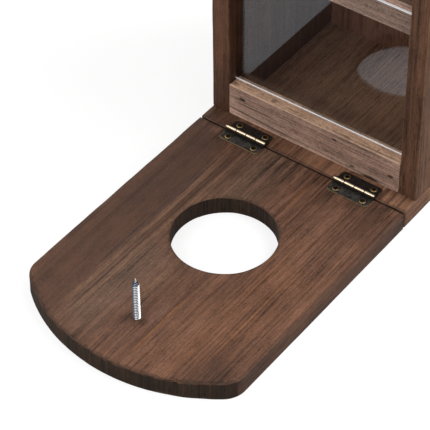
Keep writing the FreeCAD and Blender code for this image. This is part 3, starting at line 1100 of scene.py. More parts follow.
def islands_of(node: str) -> list[tuple[Vector, Vector]]:
    """The corners of each separate solid of a node.

    Args:
        node: The frame's node.

    Returns:
        Lowest and highest corner of each solid in millimetres, in order of place.
    """
    copy = bmesh.new()
    copy.from_mesh(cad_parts[node].data)
    bmesh.ops.remove_doubles(copy, verts=copy.verts, dist=1e-6)
    waiting, found = set(copy.verts), []
    while waiting:
        stack = [waiting.pop()]
        group = list(stack)
        while stack:
            for edge in stack.pop().link_edges:
                for vert in edge.verts:
                    if vert in waiting:
                        waiting.remove(vert)
                        stack.append(vert)
                        group.append(vert)
        spots = [vert.co / MM for vert in group]
        low = Vector([min(spot[axis] for spot in spots) for axis in range(3)])
        high = Vector([max(spot[axis] for spot in spots) for axis in range(3)])
        found.append((low, high))
    copy.free()
    return sorted(found, key=lambda pair: tuple(round(value, 2) for value in pair[0]))


def stands_of(node: str, height: float) -> list[Matrix]:
    """Where the separate solids of a node stand, all at one height."""
    return [midway(low, high, height) for low, high in islands_of(node)]


# Shared measures of the frame


@dataclass(frozen=True)
class Layout:
    """The frame's shared measures in millimetres.

    Attributes:
        board: Thickness of the boards, which is also the height of the deck.
        half: Half the width of the box.
        hinge: Place of the hinge line along the box.
        front: Place of the walls' front.
        back: Place of the back face.
        front_height: Height of the walls' front above the deck.
        slope: Slope of the roof in degrees.
        roof: Thickness of the roof boards.
        roof_strip: Run of the fixed roof strip.
    """

    board: float
    half: float
    hinge: float
    front: float
    back: float
    front_height: float = 225.0
    slope: float = 12.0
    roof: float = 12.0
    roof_strip: float = 35.0

    @classmethod
    def read(cls) -> "Layout":
        """Take the measures from the frame's nodes.

        Returns:
            The measures.
        """
        low, high = corners_of("right_wall")
        hinge = corners_of("base_board")[0].y - SEAM_GAP / 2
        return cls(board=low.z, half=high.x, hinge=hinge, front=low.y, back=high.y)

    @property
    def slope_length(self) -> float:
        """Length of the walls' top along the slope."""
        return (self.back - self.front) / math.cos(math.radians(self.slope))

    @property
    def seam(self) -> float:
        """Place of the lid's hinge line along the slope."""
        return self.slope_length - self.roof_strip

    @property
    def fold(self) -> Matrix:
        """The platform's hinge line, on the deck."""
        return Matrix.Translation((0.0, self.hinge, self.board))

    @property
    def roof_plane(self) -> Matrix:
        """The underside of the roof, its second axis up the slope."""
        corner = Matrix.Translation((0.0, self.front, self.board + self.front_height))
        return corner @ Matrix.Rotation(math.radians(self.slope), 4, "X")

    @property
    def lid_seam(self) -> Matrix:
        """The lid's hinge line, on the roof's upper face."""
        return self.roof_plane @ Matrix.Translation((0.0, self.seam, self.roof))


@dataclass(frozen=True)
class ScrewSeat:
    """The hole that a countersunk screw sits in.

    Attributes:
        head: Radius of the head.
        shank: Radius of the shank.
        sink: Depth over which the head narrows.
        length: Depth of the hole.
        mouth: Height of the open part above the head.
        slack: Room round the screw.
    """

    head: float
    shank: float
    sink: float
    length: float
    mouth: float = 2.0
    slack: float = 0.1

    def cutter(self, place: Matrix) -> Form:
        """The form to carve out.

        Args:
            place: The head's place, its third axis out of the board.

        Returns:
            The cutter.
        """
        wide, narrow = self.head + self.slack, self.shank + self.slack
        outline = [(0.0, self.mouth), (wide, self.mouth), (wide, 0.0)]
        outline += [(narrow, -self.sink), (narrow, -self.length), (0.0, -self.length)]
        return Form.turned(outline, 24).turn_into(place)


WOOD_SEAT = ScrewSeat(head=3.6, shank=1.75, sink=2.2, length=30.0)
LEAF_SEAT = ScrewSeat(head=2.4, shank=1.15, sink=0.75, length=9.0, slack=0.06)
SPIKE_SEAT = ScrewSeat(head=4.4, shank=2.35, sink=2.6, length=40.0)
OVER = Matrix.Rotation(math.pi, 4, "X")


# Marks of the boards

# Across the fibres: middle and width. Along them from the hinge line: start and stop. Then tint, share, fade.
DECK_STREAKS = (
    (-68.0, 28.0, -230.0, 20.0, Tint.DARK, 0.55, 30.0),
    (-52.0, 15.0, -230.0, -44.0, Tint.DARK, 0.36, 30.0),
    (-48.0, 3.6, -150.0, -20.0, Tint.SHADE, 0.6, 30.0),
    (-10.0, 14.0, -164.0, -112.0, Tint.TAN, 0.3, 20.0),
    (-79.0, 5.0, -150.0, -104.0, Tint.DARK, 0.5, 14.0),
    (48.0, 46.0, -240.0, -50.0, Tint.WARM, 0.36, 60.0),
    (-16.0, 30.0, -76.0, 22.0, Tint.GREY, 0.55, 30.0),
    (70.0, 26.0, -52.0, 24.0, Tint.DARK, 0.45, 26.0),
    (31.0, 14.0, -158.0, -70.0, Tint.DARK, 0.32, 20.0),
    (52.0, 14.0, -150.0, -92.0, Tint.DARK, 0.25, 20.0),
    (62.0, 24.0, -230.0, -142.0, Tint.DARK, 0.5, 30.0),
    (-28.0, 26.0, -215.0, -95.0, Tint.GREY, 0.5, 35.0),
    (-28.0, 15.0, -116.0, -44.0, Tint.TAN, 0.4, 22.0),
    (-43.6, 2.6, -200.0, -4.0, Tint.TAN, 0.6, 40.0),
    (-38.4, 1.3, -196.0, 8.0, Tint.DARK, 0.55, 30.0),
    (-35.2, 2.4, -202.0, 8.0, Tint.TAN, 0.5, 30.0),
    (-15.2, 1.4, -50.0, 4.0, Tint.DARK, 0.45, 24.0),
    (-11.0, 1.6, -46.0, -6.0, Tint.PINK, 0.4, 14.0),
    (-9.0, 1.6, -28.0, 4.0, Tint.DARK, 0.6, 12.0),
    (-3.5, 1.1, -24.0, 4.0, Tint.PINK, 0.5, 12.0),
    (0.5, 1.3, -30.0, 4.0, Tint.DARK, 0.6, 12.0),
    (6.5, 1.2, -22.0, 4.0, Tint.PINK, 0.45, 12.0),
    (11.5, 1.7, -34.0, 4.0, Tint.DARK, 0.6, 14.0),
    (16.6, 1.3, -48.0, -6.0, Tint.GOLD, 0.5, 12.0),
    (15.6, 1.3, -206.0, -122.0, Tint.GOLD, 0.42, 30.0),
    (32.0, 5.5, -30.0, 4.0, Tint.DARK, 0.6, 16.0),
    (47.0, 5.0, -26.0, 4.0, Tint.DARK, 0.55, 16.0),
    (53.5, 2.2, -36.0, 4.0, Tint.DARK, 0.5, 14.0),
    (28.6, 1.0, -62.0, -20.0, Tint.PINK, 0.4, 16.0),
    (44.0, 1.0, -200.0, -46.0, Tint.GOLD, 0.36, 40.0),
    (56.6, 0.9, -186.0, -84.0, Tint.GOLD, 0.3, 30.0),
    (67.4, 1.0, -86.0, -34.0, Tint.PINK, 0.45, 14.0),
    (33.4, 1.2, -198.0, -136.0, Tint.PINK, 0.35, 20.0),
    (-4.4, 1.0, -206.0, -118.0, Tint.PINK, 0.5, 24.0),
    (9.5, 6.0, -178.0, -142.0, Tint.PINK, 0.3, 14.0),
    (79.5, 2.6, -214.0, 10.0, Tint.DARK, 0.4, 20.0),
    (82.5, 5.0, -240.0, -112.0, Tint.DARK, 0.9, 60.0),
    (72.0, 14.0, -240.0, -166.0, Tint.DARK, 0.5, 12.0),
    (-64.0, 5.5, -11.0, 8.0, Tint.PINK, 0.55, 7.0),
)

# Streaks and knots of the lip: those on its front placed by height, those on its top by depth
LIP_MARKS = (
    Streak(25.4, 1.0, -66.0, -26.0, Tint.BLACK, 0.75, 12.0, Side.EDGE),
    Streak(19.4, 1.3, -74.0, -12.0, Tint.BLACK, 0.7, 16.0, Side.EDGE, -0.045),
    Streak(17.2, 1.0, -36.0, 62.0, Tint.BLACK, 0.45, 20.0, Side.EDGE, -0.02),
    Streak(14.4, 0.9, -72.0, 40.0, Tint.PALE, 0.6, 12.0, Side.EDGE),
    Streak(36.6, 1.6, -30.0, 66.0, Tint.GREY, 0.4, 20.0, Side.EDGE),
    Knot(-55.7, 29.4, 3.0, 1.5),
    Knot(16.8, 32.5, 2.6, 1.0),
    Knot(59.9, 24.4, 2.6, 1.2),
    Knot(31.1, 17.5, 2.4, 1.0),
    Knot(-12.4, 22.8, 1.8, 1.0, 0.5),
    Knot(45.0, 13.9, 7.5, 2.6, 0.9),
    Knot(-33.0, -47.6, 2.2, 2.6, 0.45, Side.FLAT),
    Knot(-64.0, -47.0, 3.4, 2.0, 0.4, Side.FLAT),
    Knot(48.2, -47.6, 0.9, 1.8, 0.5, Side.FLAT),
    Knot(24.0, -46.6, 4.4, 0.9, 0.4, Side.FLAT),
    Knot(-18.0, -46.8, 5.0, 0.7, 0.35, Side.FLAT),
)


# Sub-assemblies


@dataclass
class Platform:
    """The folding landing board with its cup hole.

    Attributes:
        layout: The frame's shared measures.
        arc: Radius of the rounded front.
        corner: Radius where the sides meet the front.
        length: From the hinge line to the tip.
        cup: Radius of the cup hole.
        cup_reach: From the hinge line to the hole's middle.
        arris: Rounding of the upper edges.
        lower_arris: Rounding of the lower edges.
    """

    layout: Layout
    arc: float = 120.0
    corner: float = 16.0
    length: float = 208.0
    cup: float = 34.0
    cup_reach: float = 82.0
    arris: float = 0.9
    lower_arris: float = 0.4

    def build(self) -> None:
        """Shape the board and dress it."""
        top = self.layout.board
        form = self._outline()
        form.carve([Form.rod((0.0, -self.cup_reach, -OVERCUT), UP, top + 2 * OVERCUT, self.cup, 144)])
        form.round_over(self.arris, lambda edge: self._is_level(edge, top), 3)
        form.round_over(self.lower_arris, lambda edge: self._is_level(edge, 0.0), 2)
        form.turn_into(Matrix.Translation((0.0, self.layout.hinge, 0.0)))
        seats = [LEAF_SEAT.cutter(spot) for spot in stands_of("hinge_screws_platform", top + LEAF_THICK)]
        under = midway(*corners_of("corn_screw"), HEAD_DEPTH) @ OVER
        form.carve([*seats, SPIKE_SEAT.cutter(under)])
        form.refine((3.2, 6.5, 3.0))
        form.mesh.normal_update()
        for face in form.mesh.faces:
            face.material_index = 1 if self._is_sawn(face) else 0
        form.weather(Grain.LENGTHWISE, seed=11.0, face=0.07, arris=0.5)
        piece = Piece("landing_platform", "platform", "stained_wood", ("platform_board",))
        piece.finish(form, self._face().dress(), self._sawn().dress())

    def _is_sawn(self, face: Face) -> bool:
        """Tell whether a face is end grain or the hole's wall.

        Args:
            face: The face.

        Returns:
            True for those faces.
        """
        middle = face.calc_center_median()
        away = math.hypot(middle.x, middle.y - self.layout.hinge + self.cup_reach)
        return abs(face.normal.z) < 0.3 and (away < self.cup + 0.5 or abs(face.normal.y) > 0.4)

    def _sawn(self) -> Wood:
        """The sawn ends and the hole's wall, which drank more of the stain.

        Returns:
            The finish.
        """
        return Wood(
            name="platform_ends",
            grain=Grain.UPRIGHT,
            deep=paint(24, 18, 13),
            light=paint(62, 44, 32),
            pith=(-230.0, 190.0),
            ring=2.6,
            contrast=2.0,
            rough=0.7,
        )

    def _outline(self) -> Form:
        """The board's plan, half of it drawn and mirrored, and raised to its thickness.

        Returns:
            The form, its hinge line at the origin.
        """
        form = Form()
        half = self.layout.half
        middle = self.arc - self.length
        inner = self.arc - self.corner
        lean = math.asin((half - self.corner) / inner)
        shoulder = (half - self.corner, middle - inner * math.cos(lean), 0.0)
        tip = form.mesh.verts.new((0.0, -self.length, 0.0))
        last = form.sweep(tip, (0.0, middle, 0.0), lean, 48)
        last = form.sweep(last, shoulder, math.pi / 2 - lean, 14)
        for spot in ((half, -SEAM_GAP / 2, 0.0), (0.0, -SEAM_GAP / 2, 0.0)):
            following = form.mesh.verts.new(spot)
            form.mesh.edges.new((last, following))
            last = following
        bmesh.ops.mirror(form.mesh, geom=form.everything(), axis="X", merge_dist=2 * WELD)
        bmesh.ops.remove_doubles(form.mesh, verts=form.mesh.verts, dist=2 * WELD)
        plan = bmesh.ops.contextual_create(form.mesh, geom=form.mesh.edges[:])["faces"]
        raised = bmesh.ops.extrude_face_region(form.mesh, geom=plan)["geom"]
        upper = [item for item in raised if isinstance(item, Vert)]
        bmesh.ops.translate(form.mesh, vec=(0.0, 0.0, self.layout.board), verts=upper)
        return form.weld()

    def _is_level(self, edge: Edge, height: float) -> bool:
        """Whether an edge bounds the face at a height."""
        return is_steep(edge) and all(abs(vert.co.z - height) < 1e-4 for vert in edge.verts)

    def _face(self) -> Wood:
        """The stained face, whose streaks are counted from the hinge line.

        Returns:
            The finish.
        """
        return Wood(
            name="platform_timber",
            grain=Grain.LENGTHWISE,
            deep=paint(70, 47, 36),
            light=paint(118, 84, 66),
            pith=(-18.0, -34.0),
            ring=2.3,
            contrast=1.35,
            grit=0.42,
            wear_and_sheen=0.2,
            pores=0.45,
            calm=-50.0,
            torn=-26.0,
            move=(0.0, -self.layout.hinge, 0.0),
            marks=(
                *(Streak(*row) for row in DECK_STREAKS),
                # Painted shadow: the dark spot beside the corn screw's foot is the screw's cast shadow.
                Knot(-171.0, 5.6, 3.2, 4.0, 0.4, Side.FLAT),
                Ring(0.0, self.arc - self.length, self.arc, 2.6, 0.5),
                Ring(0.0, -self.cup_reach, self.cup, 2.4, 0.4),
            ),
        )


@dataclass
class Boards:
    """The base, the walls, the back, the lip, the upper strip and the roof.

    Attributes:
        layout: The frame's shared measures.
        arris: Rounding of the stained boards.
        light_arris: Rounding of the pale boards.
        hang: Radius of the holes to hang the box by.
        hang_pitch: Distance between them.
        hang_height: Their height above the deck.
        groove: Depth of the grooves that hold the pane.
        slack: Room on each face of the pane.
        lift: How far the pane slides up.
        eaves: How far the lid reaches out before the walls, along the slope.
    """

    layout: Layout
    arris: float = 0.9
    light_arris: float = 0.6
    hang: float = 3.0
    hang_pitch: float = 60.0
    hang_height: float = 200.0
    groove: float = 4.0
    slack: float = 0.3
    lift: float = 26.0
    eaves: float = 33.5

    def build(self) -> None:
        """Make every board."""
        self._base()
        self._wall("left_wall", -1.0, 21.0)
        self._wall("right_wall", 1.0, 22.0)
        self._back()
        # The third argument is painted light on the top face: pale on the lip's lit top, dimmer on the rail's
        # top under the roof.
        lip = self._pale_finish("lip_timber", ORIGIN, paint(224, 182, 150), LIP_MARKS)
        self._pale("front_lip", "lip", 41.0, lip)
        strip = self._pale_finish("rail_timber", (17.0, 9.0, 40.0), paint(134, 110, 96), ())
        self._pale("upper_rail", "upper_strip", 43.0, strip)
        self._roof()

    def _planed(self, low: Vector, high: Vector) -> Form:
        """A board between two corners, its top planed to the roof's slope."""
        plane = self.layout.roof_plane
        return Form.block(low, high).trim(plane.translation, plane.col[2].xyz)

    def _base(self) -> None:
        """The floor of the box with the bare strip that carries the hinges."""
        low, high = corners_of("base_board")
        form = Form.block(low, high).round_over(self.arris)
        seats = [WOOD_SEAT.cutter(spot @ OVER) for spot in stands_of("base_screws", HEAD_DEPTH)]
        seats += [LEAF_SEAT.cutter(spot) for spot in stands_of("hinge_screws_base", high.z + LEAF_THICK)]
        form.carve(seats).refine((4.0, 6.0, 3.0))
        form.weather(Grain.LENGTHWISE, seed=12.0, face=0.06, arris=0.3)
        finish = Wood(
            name="base_timber",
            grain=Grain.LENGTHWISE,
            deep=paint(88, 61, 47),
            light=paint(146, 106, 82),
            pith=(22.0, -40.0),
            ring=4.8,
            contrast=1.35,
            grit=0.36,
            square=True,
            move=(37.0, -self.layout.hinge, 3.0),
            marks=(
                # Painted light: lightens the floor inside the box, where the roof and walls shade it.
                Streak(37.0, 600.0, 24.0, 300.0, Tint.BUFF, 0.6, 14.0),
                Streak(-34.0, 26.0, -20.0, 20.0, Tint.DARK, 0.4, 6.0),
                *(
                    Streak(37.0 + place, width, -20.0, 20.0, tint, 0.6, 5.0)
                    for place, width, tint in (
                        (-21.0, 2.0, Tint.WARM), (-8.0, 1.6, Tint.DARK), (4.0, 2.6, Tint.TAN),
                        (16.0, 1.8, Tint.DARK), (57.8, 1.2, Tint.BUFF), (60.4, 1.2, Tint.DARK),
                        (63.4, 1.3, Tint.BUFF), (66.2, 1.2, Tint.DARK), (69.6, 1.5, Tint.BUFF),
                        (73.5, 1.3, Tint.DARK),
                    )
                ),
                # Painted shade: darkens the strip along its seam with the platform.
                Streak(37.0, 600.0, -20.0, 3.4, Tint.DARK, 0.6, 2.4),
            ),
        )
        Piece("base", "box", "stained_wood", ("base_board",)).finish(form, finish.dress())

    def _wall(self, node: str, side: float, seed: float) -> None:
        """One side wall, its top planed to the slope.

        Args:
            node: The wall's node.
            side: -1 for the left wall and 1 for the right.
            seed: Moves the pattern.
        """
        low, high = corners_of(node)
        lay = self.layout
        form = self._planed(low, high).round_over(self.arris)
        pane_low, pane_high = corners_of("front_pane")
        inner = side * (lay.half - lay.board)
        start = (inner - self.groove, pane_low.y - self.slack, pane_low.z)
        stop = (inner + self.groove, pane_high.y + self.slack, pane_high.z + self.lift)
        cutters = [Form.block(start, stop)]
        turn = Matrix.Rotation(side * math.pi / 2, 4, "Y")
        for a, b in islands_of("back_screws"):
            if side * (a.x + b.x) > 0.0:
                spot = (side * (lay.half - HEAD_DEPTH), (a.y + b.y) / 2, (a.z + b.z) / 2)
                cutters.append(WOOD_SEAT.cutter(Matrix.Translation(spot) @ turn))
        form.carve(cutters).refine((3.0, 4.0, 8.0))
        form.weather(Grain.UPRIGHT, seed, face=0.08, arris=0.35)
        finish = Wood(
            name=f"{node}_timber",
            grain=Grain.UPRIGHT,
            deep=paint(72, 50, 38) if side > 0.0 else paint(62, 41, 30),
            light=paint(124, 87, 66) if side > 0.0 else paint(108, 72, 52),
            pith=(side * 130.0, -110.0),
            ring=4.2,
            contrast=1.3,
            grit=0.36,
            wear_and_sheen=0.55,
            square=True,
            move=(side * 30.0, 0.0, seed),
            marks=(Streak(side * 103.0, 600.0, -40.0, 62.0, Tint.DARK, 0.3 - side * 0.2, 34.0),),
        )
        Piece(node + "_board", "box", "stained_wood", (node,)).finish(form, finish.dress())

    def _back(self) -> None:
        """The back board with two holes to hang the box by."""
        low, high = corners_of("back_board")
        depth, level = high.y - low.y + 2 * OVERCUT, self.layout.board + self.hang_height
        cutters = [
            Form.rod((place, low.y - OVERCUT, level), BACKWARD, depth, self.hang, 40)
            for place in (-self.hang_pitch / 2, self.hang_pitch / 2)
        ]
        form = self._planed(low, high).carve(cutters).refine((4.0, 3.0, 8.0))
        form.weather(Grain.UPRIGHT, seed=31.0, face=0.08, arris=0.0)
        finish = Wood(
            name="back_timber",
            grain=Grain.UPRIGHT,
            deep=paint(92, 61, 47),
            light=paint(142, 99, 78),
            pith=(20.0, -210.0),
            ring=4.6,
            contrast=1.3,
            move=(5.0, 0.0, 0.0),
        )
        Piece("back", "box", "stained_wood", ("back_board",)).finish(form, finish.dress())

    @staticmethod
    def _pale_finish(name: str, move: Point, crown: Colour, marks: tuple[Streak | Knot, ...]) -> Wood:
        """The paler, greyer timber of the lip and the upper strip.

        Args:
            name: The material's name.
            move: Shift of the pattern.
            crown: The colour painted on its upper face, as the light that falls there.
            marks: Streaks and knots.

        Returns:
            The finish.
        """
        return Wood(
            name=name,
            grain=Grain.ACROSS,
            deep=paint(120, 93, 80),
            light=paint(184, 152, 135),
            ends=0.75,
            pith=(-60.0, -25.0),
            ring=2.9,
            contrast=1.15,
            grit=0.62,
            pores=0.6,
            square=True,
            move=move,
            # The pale worn colour and its high share paint the highlight on the arrises as well as their
            # wear.
            worn=paint(222, 190, 166),
            wear_and_sheen=0.8,
            rough=0.66,
            crown=crown,
            top_light_share=0.8,
            marks=marks,
        )

    def _pale(self, node: str, name: str, seed: float, finish: Wood) -> None:
        """Make a board of the paler timber.

        Args:
            node: The board's node.
            name: The piece's name.
            seed: Moves its dents.
            finish: How it is dressed.
        """
        form = Form.block(*corners_of(node)).round_over(self.light_arris)
        form.refine((4.0, 2.2, 2.0)).weather(Grain.ACROSS, seed, face=0.12, arris=0.25)
        Piece(name, "box", "pale_wood", (node,)).finish(form, finish.dress())

    def _roof(self) -> None:
        """The hinged lid and the fixed strip behind it."""
        lay = self.layout
        half = corners_of("roof_lid")[1].x
        spans = (
            ("roof_lid", "lid", "hinge_screws_lid", -self.eaves, lay.seam - SEAM_GAP / 2),
            ("roof_rear_strip", "box", "hinge_screws_strip", lay.seam + SEAM_GAP / 2, lay.slope_length),
        )
        for number, (node, body, screws, start, stop) in enumerate(spans):
            form = Form.block((-half, start, 0.0), (half, stop, lay.roof)).round_over(self.arris)
            line = lay.seam + (LEAF_SCREW_REACH if body == "box" else -LEAF_SCREW_REACH)
            cutters = [
                LEAF_SEAT.cutter(Matrix.Translation(((a.x + b.x) / 2, line, lay.roof + LEAF_THICK)))
                for a, b in islands_of(screws)
            ]
            if body == "box":
                cutters += self._strip_seats()
            form.carve(cutters).refine((6.0, 4.0, 3.0))
            form.weather(Grain.ACROSS, seed=51.0 + number, face=0.08, arris=0.35)
            form.turn_into(lay.roof_plane)
            finish = Wood(
                name=f"{node}_timber",
                grain=Grain.ACROSS,
                deep=paint(74, 49, 37),
                light=paint(116, 81, 61),
                pith=(-90.0 - 40.0 * number, 200.0),
                ring=4.4,
                contrast=1.15,
                move=(9.0 * number, 55.0 * number, 0.0),
            )
            Piece(node + "_board", body, "stained_wood", (node,)).finish(form, finish.dress())

    def _strip_seats(self) -> list[Form]:
        """Holes of the screws that hold the fixed roof strip, in the roof's own plane.

        Returns:
            The cutters.
        """
        lay = self.layout
        to_plane = lay.roof_plane.inverted()
        seats = []
        for low, high in islands_of("roof_strip_screws"):
            middle = to_plane @ ((low + high) / 2)
            seats.append(WOOD_SEAT.cutter(Matrix.Translation((middle.x, middle.y, lay.roof - HEAD_DEPTH))))
        return seats


@dataclass
class CornScrew:
    """The long pointed screw that holds a corn cob.

    Attributes:
        radius: Outer radius of the thread.
        core: Radius at the foot of the thread.
        pitch: Rise of the thread in one turn.
        point: Length of the tapered end.
        head: Radius of the head.
        sink: Depth over which the head narrows.
        steps: Steps of the thread in one turn.
        nib: Radius and height of the very tip.
        plain: Bare shank between the head and the thread.
        buried: How deep the thread's foot lies inside the core.
        runout: Turns over which the thread rises from the bare shank.
        shaded_side: The side, seen from above, that is painted darker and bluer, as shade and a bluish
            reflection.
    """

    radius: float = SPIKE_SEAT.shank
    core: float = 1.6
    pitch: float = 1.4
    point: float = 5.5
    head: float = SPIKE_SEAT.head
    sink: float = SPIKE_SEAT.sink
    steps: int = 20
    nib: tuple[float, float] = (0.18, 0.3)
    plain: float = 0.6
    buried: float = 0.35
    runout: float = 1.4
    shaded_side: tuple[float, float] = (-0.8, -0.6)

    def build(self) -> None:
        """Shape the screw and dress it."""
        low, high = corners_of("corn_screw")
        length = high.z - low.z
        core = Form.turned(
            [
                (0.0, length),
                (self.nib[0], length - self.nib[1]),
                (self.core, length - self.point),
                (self.core, self.sink + 1.0),
                (self.core, self.sink),
                (self.head, 0.0),
                (0.0, 0.0),
            ],
            32,
        )
        # Painted highlight on the tip and the thread's crests, weaker on the painted shaded side; painted
        # shade on the core below the tip and toward the thread's roots.
        tip = length - self.point - 0.1
        core.number("rim", lambda vert: 0.8 * self._side_light(vert) if vert.co.z > tip else 0.0)
        core.number("painted_shade", lambda vert: 0.0 if vert.co.z > tip else 0.7)
        thread = self._thread(length).number("rim", lambda vert: self._crest(vert) * self._side_light(vert))
        core.join(thread.number("painted_shade", lambda vert: 0.7 * (1.0 - self._crest(vert))))
        core.turn_into(midway(low, high, low.z))
        # The bluish film paints shade and a bluish reflection, and the bright colour paints the highlights.
        finish = Metal(
            name="zinc_thread",
            film=paint(40, 52, 80),
            mottle=paint(84, 96, 122),
            bright=paint(244, 244, 243),
            bare=0.06,
            rough=0.36,
            polish=0.34,
            chips=0.15,
            metallic=1.0,
            speck=1.6,
        )
        Piece("corn_spike", "platform", "zinc_steel", ("corn_screw",)).finish(core, finish.dress())

    def _side_light(self, vert: Vert) -> float:
        """1 round most of the screw, and less on the side that is painted darker, as shade and a bluish
        reflection.
        """
        toward = vert.co.xy.dot(Vector(self.shaded_side)) / max(0.01, away_of(vert))
        return 1.0 - 0.75 * clamp(toward / 0.3 - 1.6)

    def _crest(self, vert: Vert) -> float:
        """1 on the thread's crest and 0 at its foot."""
        return clamp((away_of(vert) - self.core) / (self.radius - self.core))

    def _thread(self, length: float) -> Form:
        """The ridge that winds up the screw and dies away at its point.

        Args:
            length: Length of the screw.

        Returns:
            The form.
        """
        form = Form()
        foot = self.sink + self.plain
        turns = int((length - foot - self.pitch) / self.pitch)
        flank = [(self.core - self.buried, 0.46), (self.core, 0.40), (self.radius, 0.05)]
        spots = [(radius, -self.pitch * share) for radius, share in flank]
        spots += [(radius, self.pitch * share) for radius, share in reversed(flank)]
        ring = [form.mesh.verts.new((radius, 0.0, foot + self.pitch * 0.5 + rise)) for radius, rise in spots]
        face = form.mesh.faces.new(ring)
        items, climb = [*ring, *face.edges, face], (0.0, 0.0, self.pitch / self.steps)
        form.spin(items, ORIGIN, UP, math.tau * turns, self.steps * turns, dvec=climb, use_merge=False)
        form.weld()
        start = length - self.point
        for vert in form.mesh.verts:
            share = min(1.0, max(0.03, (length - vert.co.z) / self.point)) if vert.co.z > start else 1.0
            low_share = min(1.0, max(0.2, (vert.co.z - foot) / (self.pitch * self.runout)))
            away = away_of(vert)
            if away > self.core:
                share *= (self.core + (away - self.core) * low_share * share) / away
            vert.co.x *= share
            vert.co.y *= share
            vert.co.z = min(vert.co.z, length - 0.05)
        return form


@dataclass
class Hinge:
    """One small butt hinge: two curled leaves and their pin.

    Attributes:
        name: Name of the hinge, as in its nodes.
        place: The hinge line at the hinge's middle.
        fixed: Name of the leaf that stays.
        moving: Name of the leaf that turns.
        body: The body that the moving leaf rides on.
        length: Length of the barrel.
        reach: From the hinge line to a leaf's far edge.
        thick: Thickness of the sheet.
        corner: Rounding of the leaf's corners.
        axis: Height of the pin's middle.
        barrel: Outer radius of the barrel.
        gap: Space between two knuckles.
        pin: Radius of the pin.
        play: Room between the pin and the curled sheet.
        soft: Rounding of the flat sheet's edges.
        lip: Rounding of the curled sheet's edges.
        worn: Length of each knuckle's dark end.
        relief: Gap between the barrel and the flat sheet.
        curl: How far the sheet curls round the pin, in degrees.
        screw_out: From the hinge's middle to its screws.
    """

    name: str
    place: Matrix
    fixed: str
    moving: str
    body: str
    length: float = 30.8
    reach: float = 10.4
    thick: float = LEAF_THICK
    corner: float = 2.6
    axis: float = 1.9
    barrel: float = 1.75
    gap: float = 0.2
    pin: float = 0.8
    play: float = 0.06
    soft: float = 0.16
    lip: float = 0.1
    # worn: Length of each knuckle's dark end, painted shade between knuckles where the painted highlight
    # stops.
    worn: float = 0.3
    relief: float = 0.35
    curl: float = 338.0
    screw_out: float = 10.2

    def build(self, dark: Material, dull: Material, bright: Material) -> None:
        """Shape both leaves and the pin and dress them.

        Args:
            dark: The material of the leaf that stays.
            dull: The material of the leaf that turns.
            bright: The barrel's material.
        """
        turned = Matrix.Rotation(math.pi, 4, "Z")
        leaves = ((self.fixed, "box", Matrix(), dark), (self.moving, self.body, turned, dull))
        for leaf, body, turn, material in leaves:
            node = f"{self.name}_{leaf}"
            form = self._leaf(turn[1][1]).turn_into(self.place @ turn)
            Piece(node + "_sheet", body, "aged_brass", (node,)).finish(form, material, bright)
        form = self._pin().turn_into(self.place)
        node = f"{self.name}_pin"
        Piece(node + "_rod", "box", "bright_brass", (node,)).finish(form, bright)

    def _leaf(self, rear: float) -> Form:
        """A leaf in its own frame: the barrel along the first axis, the sheet toward the second.

        Args:
            rear: 1 where the sheet lies behind the barrel, and -1 where it lies before it.

        Returns:
            The form.
        """
        half, near = self.length / 2, self.barrel + self.relief
        plate = Form.block((-half, near, 0.0), (half, self.reach, self.thick))
        plate.round_over(self.corner, self._is_corner, 6).round_over(self.soft, is_steep, 2)
        places = (-self.screw_out, self.screw_out)
        spots = [Matrix.Translation((place, LEAF_SCREW_REACH, self.thick)) for place in places]
        plate.carve([LEAF_SEAT.cutter(spot) for spot in spots]).refine((0.6, 0.6, 0.0))
        # The leaf's corners are worn bright; the shade round its screws and along its barrel is painted.
        plate.number("rim", self._rim).number("painted_shade", self._leaf_shade)
        knuckle = self.length / 4 - self.gap
        for number in (0, 2):
            start = (number - 2) * self.length / 4 + self.gap / 2
            tab = Form.block((start, 0.2, 0.15), (start + knuckle, near + 0.1, self.thick))
            # The tab under the barrel is painted in shade.
            plate.join(tab.number("rim", lambda vert: 0.0).number("painted_shade", lambda vert: 0.9))
            plate.join(self._knuckle(start, knuckle, rear))
        return plate

    def _knuckle(self, start: float, length: float, rear: float) -> Form:
        """The sheet curled round the pin.

        Args:
            start: Where the knuckle begins along the barrel.
            length: Its length.
            rear: As for the leaf.

        Returns:
            The form.
        """
        outer, inner = self.barrel, self.pin + self.play
        form = Form.block((start, 0.0, self.axis - outer), (start + length, 0.02, self.axis - inner))
        others = [face for face in form.mesh.faces if face.normal.y > -0.5]
        bmesh.ops.delete(form.mesh, geom=others, context="FACES")
        middle, curl = (0.0, 0.0, self.axis), -math.radians(self.curl)
        form.spin(form.everything(), middle, RIGHTWARD, curl, 42, use_merge=False)
        form.weld().round_over(self.lip, is_steep, 2)
        for end in (start + self.worn, start + length - self.worn):
            form.cut((end, 0.0, 0.0), RIGHTWARD)
        for face in form.mesh.faces:
            face.material_index = 1
        middle = start + length / 2

        def highlight_band(vert: Vert) -> float:
            """The painted highlight as on the pin, stopped short of the ends, so that painted shade shows
            where two knuckles meet.
            """
            return self._painted_highlight(vert, rear) if abs(vert.co.x - middle) < length / 2 - 0.2 else 0.0

        # The rim attribute paints the barrel's highlight; no painted shade lies on the knuckle.
        return form.number("rim", highlight_band).number("painted_shade", lambda vert: 0.0)

    def _painted_highlight(self, vert: Vert, rear: float = 1.0) -> float:
        """Find the painted highlight on the barrel at a vertex.

        Args:
            vert: The vertex.
            rear: As for the leaf.

        Returns:
            1 on a narrow band of its front, a little below the crown, where the highlight is painted, and 0
            elsewhere.
        """
        ahead, rise = -vert.co.y * rear, vert.co.z - self.axis
        away = math.hypot(ahead, rise)
        toward = (0.5 * ahead + 0.866 * rise) / away if away > 1.0 else 0.0
        return clamp((toward - 0.89) / 0.08)

